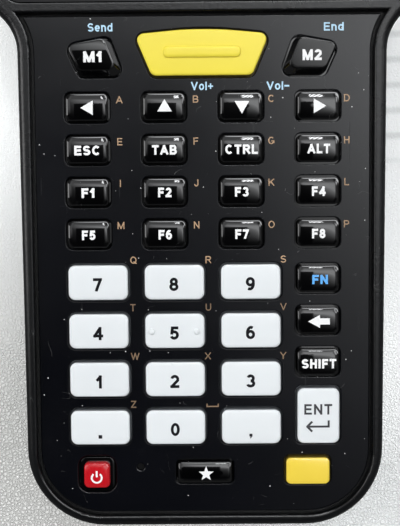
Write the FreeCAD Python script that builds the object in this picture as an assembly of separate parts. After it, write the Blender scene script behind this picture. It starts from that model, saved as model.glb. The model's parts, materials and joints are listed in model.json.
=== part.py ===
"""Portable barcode data terminal: touch screen above a keypad of separate keys, on a narrower grip.

Millimetres. The terminal lies on its back on a table at Z 0. +Z is out of the screen, +Y is towards
the head end with the scan window, X is across. The origin is under the middle of the whole outline.
Each file in parts/ is one piece as it would come off the bench.
"""

import FreeCAD, Part
import math
import os

V = FreeCAD.Vector

# Outline of the casing, seen from the front
body_length = 213.0
head_half = 40.0
grip_half_top = 33.5
grip_taper = 0.5
bottom_corner_r = 14.5
head_corner_r = 13.0
flare_from_bottom = 87.6
flare_hollow_r = 9.0
flare_shoulder_r = 10.6

# Casing heights and walls
face_z = 28.0
parting_z = 15.0
wall = 2.0
deck_z = 24.4
back_floor = 2.2
face_edge_r = 1.4
back_edge_r = 5.0
back_hollow_r = 2.5
slip = 0.15

# Keypad recess and the panel in it
rim_width = 2.35
rim_edge_r = 0.3
recess_corner_r = 12.2
recess_top_from_bottom = 94.7
recess_bottom_margin = 1.95
panel_groove = 0.6
panel_thickness = 1.0
panel_drop = 1.2
panel_ledge = 2.4
hole_edge = 0.12
microphone_r = 0.7
microphone_x = -12.0
microphone_down = 83.1

# Key grid, measured down from the panel's top edge
column_pitch = 14.0
first_column_left = -24.8
function_size = (7.65, 4.95)
number_size = (10.9, 6.35)
enter_size = (7.75, 10.3)
star_size = (10.05, 3.95)
yellow_size = (8.05, 4.95)
power_size = (4.8, 4.7)
power_collar = 0.8
power_inset = 2.25
yellow_outset = 2.1
function_rows_down = 16.4
function_row_pitch = 7.7
number_rows_down = 48.35
number_row_pitch = 9.0
side_rows_down = 47.9
side_row_pitch = 7.75
bottom_row_down = 84.0
scan_half_top = 12.2
scan_half_low = 9.1
scan_top_down = 3.1
scan_low_down = 11.2
scan_crown_down = 1.95
scan_crown_r = 60.0
scan_corner_r = 1.3
scan_bar = (14.0, 2.1)
scan_bar_rise = 0.35
slant_x = (22.15, 14.35, 16.9, 24.6)
slant_down = (10.75, 10.75, 3.88, 5.3)

# Keys: fit, rise, travel and the silicone below
key_gap = 0.35
key_rise = 1.3
key_bevel = 0.35
key_travel = 0.6
flange_reach = 0.45
flange_thickness = 0.6
flange_gap = 0.3
glue_gap = 0.05
function_corner_r = 0.9
number_corner_r = 1.2
boot_inset = 0.5
boot_height = 0.65
mat_thickness = 1.0
mat_inset = 1.8
mat_rim = 1.2
nib_size = 2.0
nib_height = 0.25
nib_gap = 0.05
dome_size = 4.2
dome_top_size = 1.8
dome_height = 0.3
board_thickness = 1.0
board_inset = 1.1

# Screen
bar_width = 1.7
glass_side_border = 4.0
glass_head_border = 10.45
glass_corner_r = 3.5
glass_thickness = 1.4
glass_drop = 0.2
glass_border = 4.0
earpiece_length = 9.0
earpiece_width = 1.2
earpiece_inset = 3.4
display_side_border = 4.75
display_end_border = 4.5
display_thickness = 3.1
bond_gap = 0.1

# Battery pack, its bay and its tilt axis
bay_side_border = 6.7
bay_from_bottom = 14.3
bay_length = 97.2
bay_depth = 12.9
bay_wall = 1.5
bay_corner_r = 3.0
pack_side_gap = 0.3
pack_end_gap = 0.5
pack_drop = 0.4
pack_chamfer = 3.0
pack_lower_chamfer = 1.5
pack_corner_r = 2.6
tilt_from_bay = 1.6
tilt_z = 3.4
hook_nose_r = 1.2
hook_width = 7.6
hook_x = 16.0
hook_tab = 1.4
lip_from_bay = 0.9
lip_lead_in = 0.6
contacts_from_bay = 10.5
battery_contact_x = (-5.4, -1.8, 1.8, 5.4)

# Release slider and the leaf catch it pulls
slider_width = 16.0
slider_length = 5.0
slider_travel = 2.2
slider_floor_drop = 0.5
slider_flange = 0.8
catch_width = 8.0
catch_leaf = 0.5
catch_z = 6.8
catch_bite = 0.7
catch_drop = 2.2
catch_post_z = 10.4
catch_post_r = 0.8

# Side triggers
trigger_from_bottom = 134.5
trigger_length = 26.0
trigger_z = 19.8
trigger_height = 6.4
trigger_rise = 1.2
trigger_travel = 0.8
trigger_flange = 0.7
switch_gap = 0.1

# Charging port, its flap and the cradle contacts
port_z = 20.0
port_size = (8.94, 3.2, 7.35)
port_hole = (10.8, 4.8)
mouth_gap = 0.9
flap_half = 7.5
flap_z = (17.3, 23.6)
flap_thickness = 1.2
flap_barrel_r = 0.7
flap_pin_r = 0.45
contact_r = 1.0
contact_x = (11.6, 14.1, 16.6)

# Scanner, camera and speaker at the head
window_width = 29.0
window_height = 10.6
window_thickness = 1.5
window_border = 1.8
window_set_back = 0.25
window_z = 8.6
engine_size = (24.0, 13.5, 11.8)
camera_from_top = 34.5
camera_r = 6.0
camera_border = 1.1
flash_x = 14.0
flash_r = 2.4
lens_seat_z = 1.4
speaker_x = -19.0
speaker_size = (14.0, 12.0)
grille_slots = 5
grille_slot = (9.0, 0.9)
grille_pitch = 1.9

# Screws and boards
head_screw_inset = (5.6, 15.5)
middle_screw_inset = 5.4
middle_screw_from_bottom = 106.5
chin_screw_inset = (6.3, 11.0)
screw_head_r = 2.1
screw_shank_r = 1.1
screw_head_z = 9.0
screw_head_height = 1.6
screw_tip_z = 21.5
boss_r = 2.7
head_boss_r = 3.5
head_boss_top = 12.0
insert_spacing = 22.0
inserts_from_bay = 46.0
insert_r = 1.25
insert_depth = 5.0
insert_boss_r = 3.0
scoop_from_bay = 22.0
scoop_half = 17.0
scoop_depth = 3.5
main_board_z = 19.0
main_board_thickness = 1.2
main_board_inset = 4.6
main_board_from_top = 21.5
stake_r = 0.8
stake_post_r = 1.7
stake_inset = 6.4
stakes_by_trigger = (-16.5, 22.0)
stake_from_board_end = 5.0
seal_width = 0.6
seal_depth = 0.5
seal_inset = 0.7

# Sizes that follow from the ones above
bottom_y = -body_length / 2
top_y = body_length / 2
grip_half_bottom = grip_half_top - grip_taper
recess_half = grip_half_top - rim_width
flare_y = bottom_y + flare_from_bottom
recess_top_y = bottom_y + recess_top_from_bottom
panel_z = face_z - panel_drop
panel_under = panel_z - panel_thickness
panel_top_y = recess_top_y - panel_groove
key_top_z = panel_z + key_rise
flange_top_z = panel_under - flange_gap
flange_under_z = flange_top_z - flange_thickness
boot_top_z = flange_under_z - glue_gap
mat_top_z = boot_top_z - boot_height
mat_under_z = mat_top_z - mat_thickness
board_top_z = mat_under_z - nib_height - nib_gap - dome_height
board_under_z = board_top_z - board_thickness
glass_width = 2 * (head_half - glass_side_border)
glass_bottom_y = recess_top_y + bar_width + slip
glass_length = top_y - glass_head_border - glass_bottom_y
glass_middle_y = glass_bottom_y + glass_length / 2
glass_top_z = face_z - glass_drop
glass_under_z = glass_top_z - glass_thickness
earpiece_y = glass_bottom_y + glass_length - earpiece_inset
display_width = glass_width - 2 * display_side_border
display_length = glass_length - 2 * display_end_border
display_top_z = glass_under_z - bond_gap
bay_half = grip_half_top - bay_side_border
bay_bottom_y = bottom_y + bay_from_bottom
bay_top_y = bay_bottom_y + bay_length
bay_wall_y = bay_bottom_y - bay_wall
pack_top_z = bay_depth - pack_side_gap
tilt_y = bay_top_y + tilt_from_bay
lip_start_y = bay_top_y + lip_from_bay
hook_floor_z = tilt_z - hook_nose_r - slip
contact_y = bay_top_y - contacts_from_bay
contact_end_z = pack_top_z + 0.05
slider_front_y = bay_wall_y - 0.6
trigger_y = bottom_y + trigger_from_bottom
pusher_x = head_half - wall - 2.0
switch_face_x = pusher_x - trigger_travel - switch_gap
flap_hinge_y = bottom_y + flap_barrel_r + 0.1
mouth_y = bottom_y + flap_thickness + mouth_gap
camera_y = top_y - camera_from_top
scoop_y = bay_top_y + scoop_from_bay
insert_y = bay_top_y + inserts_from_bay
main_board_top_z = main_board_z + main_board_thickness
main_board_half = head_half - main_board_inset
main_board_y0 = glass_bottom_y + 5.0
main_board_y1 = top_y - main_board_from_top


def prism(wire, z0, z1):
    """Upright solid over a flat wire."""
    face = Part.Face(wire)
    face.translate(V(0, 0, z0))
    return face.extrude(V(0, 0, z1 - z0))


def box(x0, x1, y0, y1, z0, z1):
    return Part.makeBox(x1 - x0, y1 - y0, z1 - z0, V(x0, y0, z0))


def rod(radius, start, axis, length):
    return Part.makeCylinder(radius, length, V(*start), V(*axis))


def upright(radius, x, y, z0, z1):
    return Part.makeCylinder(radius, z1 - z0, V(x, y, z0))


def all_screws():
    """The six screw places, right and left: two at the head, two in the middle, two in the chin."""
    head = (head_half - head_screw_inset[0], top_y - head_screw_inset[1])
    middle = (head_half - middle_screw_inset, bottom_y + middle_screw_from_bottom)
    chin = (grip_half_top - chin_screw_inset[0], bottom_y + chin_screw_inset[1])
    return [(side * x, y) for x, y in (head, middle, chin) for side in (1, -1)]


def polygon(points, z=0.0):
    return Part.makePolygon([V(x, y, z) for x, y in points + points[:1]])


def side_profile(points, x0, x1):
    """Solid of a (y, z) outline, drawn across X."""
    wire = Part.makePolygon([V(x0, y, z) for y, z in points + points[:1]])
    return Part.Face(wire).extrude(V(x1 - x0, 0, 0))


def rounded_wire(corners, radii):
    """Closed wire through flat corners, each rounded by its own tangent arc."""
    count = len(corners)
    arcs = []
    for i in range(count):
        here = V(*corners[i], 0)
        back = (V(*corners[i - 1], 0) - here).normalize()
        ahead = (V(*corners[(i + 1) % count], 0) - here).normalize()
        half = back.getAngle(ahead) / 2
        reach = radii[i] / math.tan(half)
        middle = (back + ahead).normalize()
        centre = here + middle * (radii[i] / math.sin(half))
        arcs.append((here + back * reach, centre - middle * radii[i], here + ahead * reach))
    edges = []
    for i in range(count):
        start, through, end = arcs[i]
        edges.append(Part.Arc(start, through, end).toShape())
        edges.append(Part.LineSegment(end, arcs[(i + 1) % count][0]).toShape())
    return Part.Wire(edges)


def moved_out(corners, distance):
    """The corners of a counter-clockwise outline with every side moved out."""
    count = len(corners)
    lines = []
    for i in range(count):
        (ax, ay), (bx, by) = corners[i], corners[(i + 1) % count]
        length = math.hypot(bx - ax, by - ay)
        nx, ny = (by - ay) / length, -(bx - ax) / length
        lines.append((nx, ny, nx * ax + ny * ay + distance))
    out = []
    for i in range(count):
        a, b, e = lines[i - 1]
        c, d, f = lines[i]
        det = a * d - b * c
        out.append(((e * d - b * f) / det, (a * f - e * c) / det))
    return out


def rectangle(cx, cy, width, height):
    w, h = width / 2, height / 2
    return [(cx - w, cy - h), (cx + w, cy - h), (cx + w, cy + h), (cx - w, cy + h)]


def rounded_box(cx, cy, width, height, radius, z0, z1):
    return prism(rounded_wire(rectangle(cx, cy, width, height), [radius] * 4), z0, z1)


def mirrored(shape):
    return shape.mirror(V(0, 0, 0), V(1, 0, 0))


def both_sides(shape):
    return [shape, mirrored(shape)]


def half_path_wire(edges_right):
    """Closes the right half of a symmetrical outline with its mirror image."""
    right = Part.Wire(edges_right)
    left = mirrored(right)
    return Part.Wire(Part.__sortEdges__(right.Edges + left.Edges))


def arc_at(centre, radius, from_deg, to_deg):
    def at(deg):
        a = math.radians(deg)
        return V(centre[0] + radius * math.cos(a), centre[1] + radius * math.sin(a), 0)

    return Part.Arc(at(from_deg), at((from_deg + to_deg) / 2), at(to_deg)), at(from_deg), at(to_deg)


def casing_wire(inset):
    """The casing's outline, moved inwards: corner, tapering side, flare, head side, head corner."""
    lean = math.atan2(grip_taper, flare_y - bottom_y)
    lean_deg = math.degrees(lean)
    both_r = flare_hollow_r + flare_shoulder_r
    reach = head_half - grip_half_top
    turn = math.acos((flare_hollow_r * math.cos(lean) + flare_shoulder_r - reach) / both_r)
    turn_deg = math.degrees(turn)
    corner_x = grip_half_bottom - bottom_corner_r * (1 - math.sin(lean)) / math.cos(lean)
    corner = (corner_x, bottom_y + bottom_corner_r)
    hollow_x = grip_half_top + flare_hollow_r * math.cos(lean)
    hollow_centre = (hollow_x, flare_y - flare_hollow_r * math.sin(lean))
    shoulder = (head_half - flare_shoulder_r, hollow_centre[1] + both_r * math.sin(turn))
    head_corner = (head_half - head_corner_r, top_y - head_corner_r)
    corner_arc, c0, c1 = arc_at(corner, bottom_corner_r - inset, -90, -lean_deg)
    hollow_arc, h0, h1 = arc_at(hollow_centre, flare_hollow_r + inset, 180 - lean_deg, 180 - turn_deg)
    shoulder_arc, s0, s1 = arc_at(shoulder, flare_shoulder_r - inset, -turn_deg, 0)
    head_arc, t0, t1 = arc_at(head_corner, head_corner_r - inset, 0, 90)
    half = [
        Part.LineSegment(V(0, bottom_y + inset, 0), c0),
        corner_arc,
        Part.LineSegment(c1, h0),
        hollow_arc,
        shoulder_arc,
        Part.LineSegment(s1, t0),
        head_arc,
        Part.LineSegment(t1, V(0, top_y - inset, 0)),
    ]
    return half_path_wire([piece.toShape() for piece in half])


def keypad_wire(inset):
    """The keypad recess, moved inwards: rounded below, flaring out below the screen bar."""
    half = recess_half - inset
    low = bottom_y + recess_bottom_margin + inset
    high = recess_top_y - inset
    centre_x = grip_half_top + flare_hollow_r
    radius = centre_x - half
    turn_deg = math.degrees(math.asin((high - flare_y) / radius))
    corner_r = recess_corner_r - inset
    corner_arc, c0, c1 = arc_at((half - corner_r, low + corner_r), corner_r, -90, 0)
    flare_arc, f0, f1 = arc_at((centre_x, flare_y), radius, 180, 180 - turn_deg)
    edges = [
        Part.LineSegment(V(0, low, 0), c0),
        corner_arc,
        Part.LineSegment(c1, f0),
        flare_arc,
        Part.LineSegment(f1, V(0, high, 0)),
    ]
    return half_path_wire([piece.toShape() for piece in edges])


def edges_on(shape, z, near=1e-3):
    """Edges that lie wholly at one height."""
    return [e for e in shape.Edges if all(abs(v.Z - z) < near for v in e.Vertexes)]


def is_upright(edge):
    first, last = edge.Vertexes[0], edge.Vertexes[-1]
    return abs(first.X - last.X) < 1e-3 and abs(first.Y - last.Y) < 1e-3


def row_y(down):
    return panel_top_y - down


def key_layout():
    """Every key as name -> (corners, corner radius). Corners run counter-clockwise from lower left."""
    keys = {}

    def add(name, left, down, size, radius=function_corner_r):
        keys[name] = (rectangle(left + size[0] / 2, row_y(down), *size), radius)

    grid = (
        ("left", "up", "down", "right"),
        ("esc", "tab", "ctrl", "alt"),
        ("f1", "f2", "f3", "f4"),
        ("f5", "f6", "f7", "f8"),
    )
    for r, names in enumerate(grid):
        for c, name in enumerate(names):
            left = first_column_left + c * column_pitch
            add(name, left, function_rows_down + r * function_row_pitch, function_size)
    numbers = (("7", "8", "9"), ("4", "5", "6"), ("1", "2", "3"), ("point", "0", "comma"))
    for r, names in enumerate(numbers):
        for c, name in enumerate(names):
            left = first_column_left + c * column_pitch
            down = number_rows_down + r * number_row_pitch
            add(name, left, down, number_size, number_corner_r)
    last_column = first_column_left + 3 * column_pitch
    for r, name in enumerate(("fn", "backspace", "shift")):
        add(name, last_column, side_rows_down + r * side_row_pitch, function_size)
    lowest = number_rows_down + 3 * number_row_pitch + number_size[1] / 2
    add("enter", last_column, lowest - enter_size[1] / 2, enter_size)
    power_left = first_column_left + power_inset
    add("power", power_left, bottom_row_down + 0.4, power_size, 0.9)
    add("star", -star_size[0] / 2, bottom_row_down, star_size, 0.6)
    add("yellow", last_column - yellow_outset, bottom_row_down - 0.25, yellow_size)

    top, low = row_y(scan_top_down + key_gap), row_y(scan_low_down - key_gap)
    crown = (0, row_y(scan_crown_down + key_gap))
    right, inner = scan_half_top, scan_half_low
    keys["scan"] = ([(-inner, low), (inner, low), (right, top), crown, (-right, top)], scan_corner_r)
    slant = [(-x, row_y(down)) for x, down in zip(slant_x, slant_down)]
    keys["m1"] = (slant, scan_corner_r)
    keys["m2"] = ([(-x, y) for x, y in (slant[1], slant[0], slant[3], slant[2])], scan_corner_r)
    return keys


def key_wire(corners, radius, distance=0.0):
    radii = [radius + distance] * len(corners)
    if len(corners) == 5:
        radii[3] = scan_crown_r
    return rounded_wire(moved_out(corners, distance), radii)


def bounds_of(corners):
    xs, ys = [x for x, y in corners], [y for x, y in corners]
    return min(xs), max(xs), min(ys), max(ys)


def middle_of(corners):
    x0, x1, y0, y1 = bounds_of(corners)
    return (x0 + x1) / 2, (y0 + y1) / 2


def plain_block(corners, distance, z0, z1):
    """Square-cornered block under or round a key."""
    return prism(polygon(moved_out(corners, distance)), z0, z1)


def key(name, corners, radius):
    """One key cap: bevelled cap through the panel, with a flange that the panel holds down."""
    cap = prism(key_wire(corners, radius), flange_top_z, key_top_z)
    cap = cap.makeChamfer(key_bevel, edges_on(cap, key_top_z))
    flange = plain_block(corners, flange_reach + collar_of(name), flange_under_z, flange_top_z)
    cap = cap.fuse(flange)
    if name == "power":
        collar = key_wire(corners, radius, power_collar)
        cap = cap.fuse(prism(collar, flange_top_z, panel_z - 0.3))
    if name == "scan":
        y = middle_of(corners)[1] + 0.35
        width, height = scan_bar
        bar_z = key_top_z + scan_bar_rise
        cap = cap.fuse(rounded_box(0, y, width, height, height / 2 - 0.05, key_top_z - 0.2, bar_z))
    if name == "5":
        x, y = middle_of(corners)
        for side in (-4.2, 4.2):
            cap = cap.fuse(Part.makeCone(0.6, 0.3, 0.35, V(x + side, y - 0.1, key_top_z)))
    return cap.removeSplitter()


def collar_of(name):
    return power_collar if name == "power" else 0.0


def keypad_panel(keys):
    """Flat panel with one opening per key and the microphone hole."""
    plate = Part.Face(keypad_wire(panel_groove))
    holes = [Part.Face(key_wire(c, r, key_gap + collar_of(n))) for n, (c, r) in keys.items()]
    microphone = Part.Wire(Part.makeCircle(microphone_r, V(microphone_x, row_y(microphone_down), 0)))
    plate = plate.cut(holes + [Part.Face(microphone)])
    plate.translate(V(0, 0, panel_under))
    panel = plate.extrude(V(0, 0, panel_thickness))
    return panel.makeChamfer(hole_edge, edges_on(panel, panel_z))


def flange_spaces(keys):
    """Room above the mat for the flanges that reach under the ledge."""
    spaces = []
    for name in ("scan", "power"):
        distance = flange_reach + collar_of(name) + key_gap
        spaces.append(plain_block(keys[name][0], distance, mat_top_z, panel_under))
    return spaces


def keypad_mat(keys):
    """Silicone mat: web, rim held between board and ledge, a boot under each cap, a nib over each dome."""
    web = prism(keypad_wire(mat_inset), mat_under_z, mat_top_z)
    outside = prism(keypad_wire(mat_inset), board_top_z, deck_z)
    inside = prism(keypad_wire(mat_inset + mat_rim), board_top_z, deck_z)
    blocks = [outside.cut(inside)]
    for corners, radius in keys.values():
        x, y = middle_of(corners)
        half = nib_size / 2
        blocks.append(plain_block(corners, -boot_inset, mat_top_z, boot_top_z))
        blocks.append(box(x - half, x + half, y - half, y + half, mat_under_z - nib_height, mat_under_z))
    mat = web.fuse(blocks)
    notches = [upright(stake_post_r + 0.3, x, y, board_top_z - 1, deck_z + 1) for x, y in stake_places()]
    notches += [upright(boss_r + 0.3, x, y, board_top_z - 1, deck_z + 1) for x, y in all_screws()[4:]]
    return mat.cut(notches + flange_spaces(keys)).removeSplitter()


def snap_domes(keys):
    """Four-sided snap domes, one under each key."""
    domes = []
    for corners, radius in keys.values():
        x, y = middle_of(corners)
        foot, crest = dome_size / 2, dome_top_size / 2
        dome = Part.makeWedge(-foot, 0, -foot, -crest, -crest, foot, dome_height, foot, crest, crest)
        dome.rotate(V(0, 0, 0), V(1, 0, 0), 90)
        dome.translate(V(x, y, board_top_z))
        domes.append(dome)
    return Part.makeCompound(domes)


def stake_places():
    """Where the keypad board hangs on the front casing's posts."""
    x = recess_half - 2.25
    return [(side * x, row_y(down)) for side in (-1, 1) for down in (20.3, 52.0, 75.0)]


def board_stakes():
    """Where the main board hangs on the front casing's posts."""
    low, high = stakes_by_trigger
    rows = (trigger_y + low, trigger_y + high, main_board_y1 - stake_from_board_end)
    return [(side * (head_half - stake_inset), y) for side in (-1, 1) for y in rows]


def keypad_board():
    z0, z1 = board_under_z, board_top_z
    board = prism(keypad_wire(board_inset), z0, z1)
    holes = [upright(stake_r + slip, x, y, z0 - 1, z1 + 1) for x, y in stake_places()]
    notches = [upright(boss_r + 0.3, x, y, z0 - 1, z1 + 1) for x, y in all_screws()[4:]]
    return board.cut(holes + notches)


def main_board():
    """Main board with its soldered parts: shields, camera, side switches, connectors, battery contacts."""
    z0, z1 = main_board_z, main_board_top_z
    y0, y1 = main_board_y0, main_board_y1
    board = box(-main_board_half, main_board_half, y0, y1, z0, z1)
    width, length = speaker_size
    parts = [
        box(-24.0, 24.0, y0 - 21.0, y0, z0, z1),
        box(-30.0, -8.0, y1 - 41.0, y1 - 22.0, z0 - 2.2, z0),
        box(9.0, 29.0, y1 - 39.0, y1 - 19.0, z0 - 1.8, z0),
        box(-24.0, 20.0, y0 + 7.0, y0 + 13.5, z1, z1 + 1.6),
        box(-9.0, 9.0, y0 - 18.5, y0 - 14.5, z1, board_under_z),
        box(-5.5, 5.5, camera_y - 5.5, camera_y + 5.5, 9.0, z0),
        upright(3.6, 0, camera_y, 3.0, 9.0),
        rounded_box(speaker_x, camera_y, width, length, 1.5, back_floor + 0.4, z0),
    ]
    x0 = switch_face_x - 2.1
    parts += both_sides(box(x0, switch_face_x, trigger_y - 3.5, trigger_y + 3.5, z1, z1 + 1.6))
    parts.append(box(-8.0, 8.0, contact_y - 2.5, contact_y + 2.5, bay_depth + 0.2, z0))
    for x in battery_contact_x:
        y0, y1 = contact_y - 1.5, contact_y + 1.5
        parts.append(box(x - 0.5, x + 0.5, y0, y1, contact_end_z, bay_depth + 0.2))
    whole = board.fuse(parts).removeSplitter()
    holes = [upright(stake_r + slip, x, y, z0 - 1, z1 + 1) for x, y in board_stakes()]
    notches = [upright(boss_r + 0.4, x, y, z0 - 1, z1 + 1) for x, y in all_screws()[:4]]
    return whole.cut(holes + notches)


def trigger_hole(grow=0.0):
    y0, y1 = trigger_y - trigger_length / 2 - grow, trigger_y + trigger_length / 2 + grow
    z0, z1 = trigger_z - trigger_height / 2 - grow, trigger_z + trigger_height / 2 + grow
    hole = box(head_half - 4.0, head_half + 3.0, y0, y1, z0, z1)
    return hole.makeFillet(trigger_height / 2 - 0.6, [e for e in hole.Edges if abs(e.Length - 7.0) < 0.01])


def trigger():
    """Right-hand scan trigger: a long button with a flange behind the wall and a pusher to its switch."""
    y0, y1 = trigger_y - trigger_length / 2, trigger_y + trigger_length / 2
    z0, z1 = trigger_z - trigger_height / 2, trigger_z + trigger_height / 2
    inner = head_half - wall - flange_gap
    button = box(inner - trigger_flange, head_half + trigger_rise, y0, y1, z0, z1)
    reach = head_half + trigger_rise - inner + trigger_flange
    ends = [e for e in button.Edges if abs(e.Length - reach) < 0.01]
    button = button.makeFillet(trigger_height / 2 - 0.6, ends)
    outer = [e for e in button.Edges if all(abs(v.X - head_half - trigger_rise) < 1e-3 for v in e.Vertexes)]
    button = button.makeFillet(0.7, outer)
    flange = box(inner - trigger_flange, inner, y0 - 0.7, y1 + 0.7, z0 - 0.6, z1 + 0.6)
    pusher_z = main_board_top_z + 0.2
    x1 = inner - trigger_flange
    pusher = box(pusher_x, x1, trigger_y - 1.5, trigger_y + 1.5, pusher_z, pusher_z + 1.2)
    return button.fuse([flange, pusher]).removeSplitter()


def front_housing(keys):
    """Upper casing: outer wall, screen frame, bar, keypad recess and ledge, posts and bosses."""
    shell = prism(casing_wire(0), parting_z, face_z)
    shell = shell.makeFillet(face_edge_r, edges_on(shell, face_z))
    shell = shell.cut(prism(casing_wire(wall), parting_z - 1, deck_z))
    pocket = rounded_box(
        0, glass_middle_y, glass_width + 2 * slip, glass_length + 2 * slip, glass_corner_r + slip,
        glass_under_z - bond_gap, face_z + 1,
    )
    opening = rounded_box(
        0, glass_middle_y, glass_width - 2 * glass_border, glass_length - 2 * glass_border, 1.5,
        deck_z - 1, face_z,
    )
    recess = prism(keypad_wire(0), panel_under, face_z + 1)
    window = prism(keypad_wire(panel_groove + panel_ledge), deck_z - 1, face_z)
    shell = shell.cut([pocket, recess])
    shell = shell.makeFillet(rim_edge_r, inner_rims(shell))
    shell = shell.cut([opening, window, earpiece_slot(deck_z - 1, face_z)])
    adds = [upright(boss_r, x, y, parting_z, deck_z) for x, y in all_screws()]
    for x, y in stake_places():
        adds.append(upright(stake_post_r, x, y, board_top_z, deck_z))
        adds.append(upright(stake_r, x, y, board_under_z - 0.4, board_top_z))
    for x, y in board_stakes():
        adds.append(upright(stake_post_r, x, y, main_board_top_z, deck_z))
        adds.append(upright(stake_r, x, y, main_board_z - 0.4, main_board_top_z))
    cuts = both_sides(trigger_hole(slip)) + port_cuts() + flange_spaces(keys)
    for x, y in all_screws():
        cuts.append(upright(screw_shank_r + 0.05, x, y, parting_z - 1, screw_tip_z + 0.5))
    return shell.fuse(adds).cut(cuts).removeSplitter()


def inner_rims(shell):
    """The edges of the recess and of the glass pocket at the face, but not the casing's own edge."""
    clear = face_edge_r + 0.2
    inside = Part.Face(casing_wire(clear))
    inside.translate(V(0, 0, face_z))
    return [e for e in edges_on(shell, face_z) if inside.isInside(e.Vertexes[0].Point, 1e-3, True)]


def port_cuts():
    """Plug way, flap recess, thumbnail notch, hinge holes and cradle contact bores in the bottom wall."""
    w, h = port_hole
    z0, z1 = flap_z
    room = flap_half + slip
    front = bottom_y - 1
    low = z0 - flap_barrel_r - 0.3
    cuts = [
        box(-w / 2, w / 2, front, bottom_y + wall + 1, port_z - h / 2, port_z + h / 2),
        box(-room, room, front, bottom_y + flap_thickness + 0.1, low, z1 + slip),
        box(-room, room, front, bottom_y + 2 * flap_barrel_r + 0.2, low, z0 + 0.9),
        box(-3.0, 3.0, front, bottom_y + 0.7, z1 - 0.5, z1 + 1.2),
        rod(flap_pin_r + 0.05, (-flap_half - 1.3, flap_hinge_y, z0), (1, 0, 0), 2 * flap_half + 2.6),
    ]
    for x in contact_x:
        cuts += both_sides(rod(contact_r + 0.05, (x, front, port_z), (0, 1, 0), wall + 2))
    return cuts


def port_flap():
    """Rubber flap with a plug, turning on stub pins along its lower edge."""
    z0, z1 = flap_z
    inside = bottom_y + flap_thickness
    plate = box(-flap_half, flap_half, bottom_y, inside, z0 + 0.75, z1)
    corners = [e for e in edges_on(plate, z1) if abs(e.Length - flap_thickness) < 0.01]
    plate = plate.makeFillet(0.5, corners)
    w, h = port_hole
    plug = box(-w / 2 + 0.2, w / 2 - 0.2, inside, inside + 0.8, port_z - h / 2 + 0.2, port_z + h / 2 - 0.3)
    barrel = rod(flap_barrel_r, (-flap_half, flap_hinge_y, z0), (1, 0, 0), 2 * flap_half)
    neck = box(-flap_half, flap_half, bottom_y + 0.1, inside, z0, z0 + 0.8)
    pins = rod(flap_pin_r, (-flap_half - 1.1, flap_hinge_y, z0), (1, 0, 0), 2 * flap_half + 2.2)
    return plate.fuse([plug, barrel, neck, pins]).removeSplitter()


def usb_connector():
    """Metal shell soldered under the keypad board, with its tongue."""
    width, height, length = port_size
    centre_z = board_under_z - height / 2
    shell = rounded_box(0, centre_z, width, height, height / 2 - 0.05, 0, length)
    mouth = rounded_box(0, centre_z, width - 0.6, height - 0.6, height / 2 - 0.35, -1, length - 1.0)
    tube = shell.cut(mouth)
    tongue = box(-3.3, 3.3, centre_z - 0.35, centre_z + 0.35, 0.8, length - 0.5)
    whole = tube.fuse(tongue)
    whole.rotate(V(0, 0, 0), V(1, 0, 0), 90)
    whole = whole.mirror(V(0, 0, 0), V(0, 1, 0))
    whole.translate(V(0, mouth_y, 0))
    return whole


def charging_contacts():
    """Six cradle contacts, each a headed pin set a little back in the bottom wall."""
    pins = []
    for x in contact_x:
        pin = rod(contact_r, (x, bottom_y + 0.15, port_z), (0, 1, 0), wall + 0.6)
        head = rod(contact_r + 0.4, (x, bottom_y + wall, port_z), (0, 1, 0), 0.45)
        pins += both_sides(pin.fuse(head).removeSplitter())
    return Part.makeCompound(pins)


def earpiece_slot(z0, z1):
    radius = earpiece_width / 2 - 0.02
    return rounded_box(0, earpiece_y, earpiece_length, earpiece_width, radius, z0, z1)


def touch_glass():
    z0, z1 = glass_under_z, glass_top_z
    glass = rounded_box(0, glass_middle_y, glass_width, glass_length, glass_corner_r, z0, z1)
    return glass.cut(earpiece_slot(z0 - 1, z1 + 1))


def display_module():
    low = display_top_z - display_thickness
    panel = rounded_box(0, glass_middle_y, display_width, display_length, 1.0, low, display_top_z)
    y0 = glass_middle_y - display_length / 2 + 0.4
    return panel.fuse(box(-20, 20, y0, y0 + 8.6, low - 0.5, low)).removeSplitter()


def scoop(extra):
    """Cylinder across the back that makes the hollow for the fingers."""
    radius = (scoop_half ** 2 + scoop_depth ** 2) / (2 * scoop_depth)
    axis_z = scoop_depth - radius
    reach = head_half + 5.0
    return rod(radius + extra, (-reach, scoop_y, axis_z), (1, 0, 0), 2 * reach)


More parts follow.
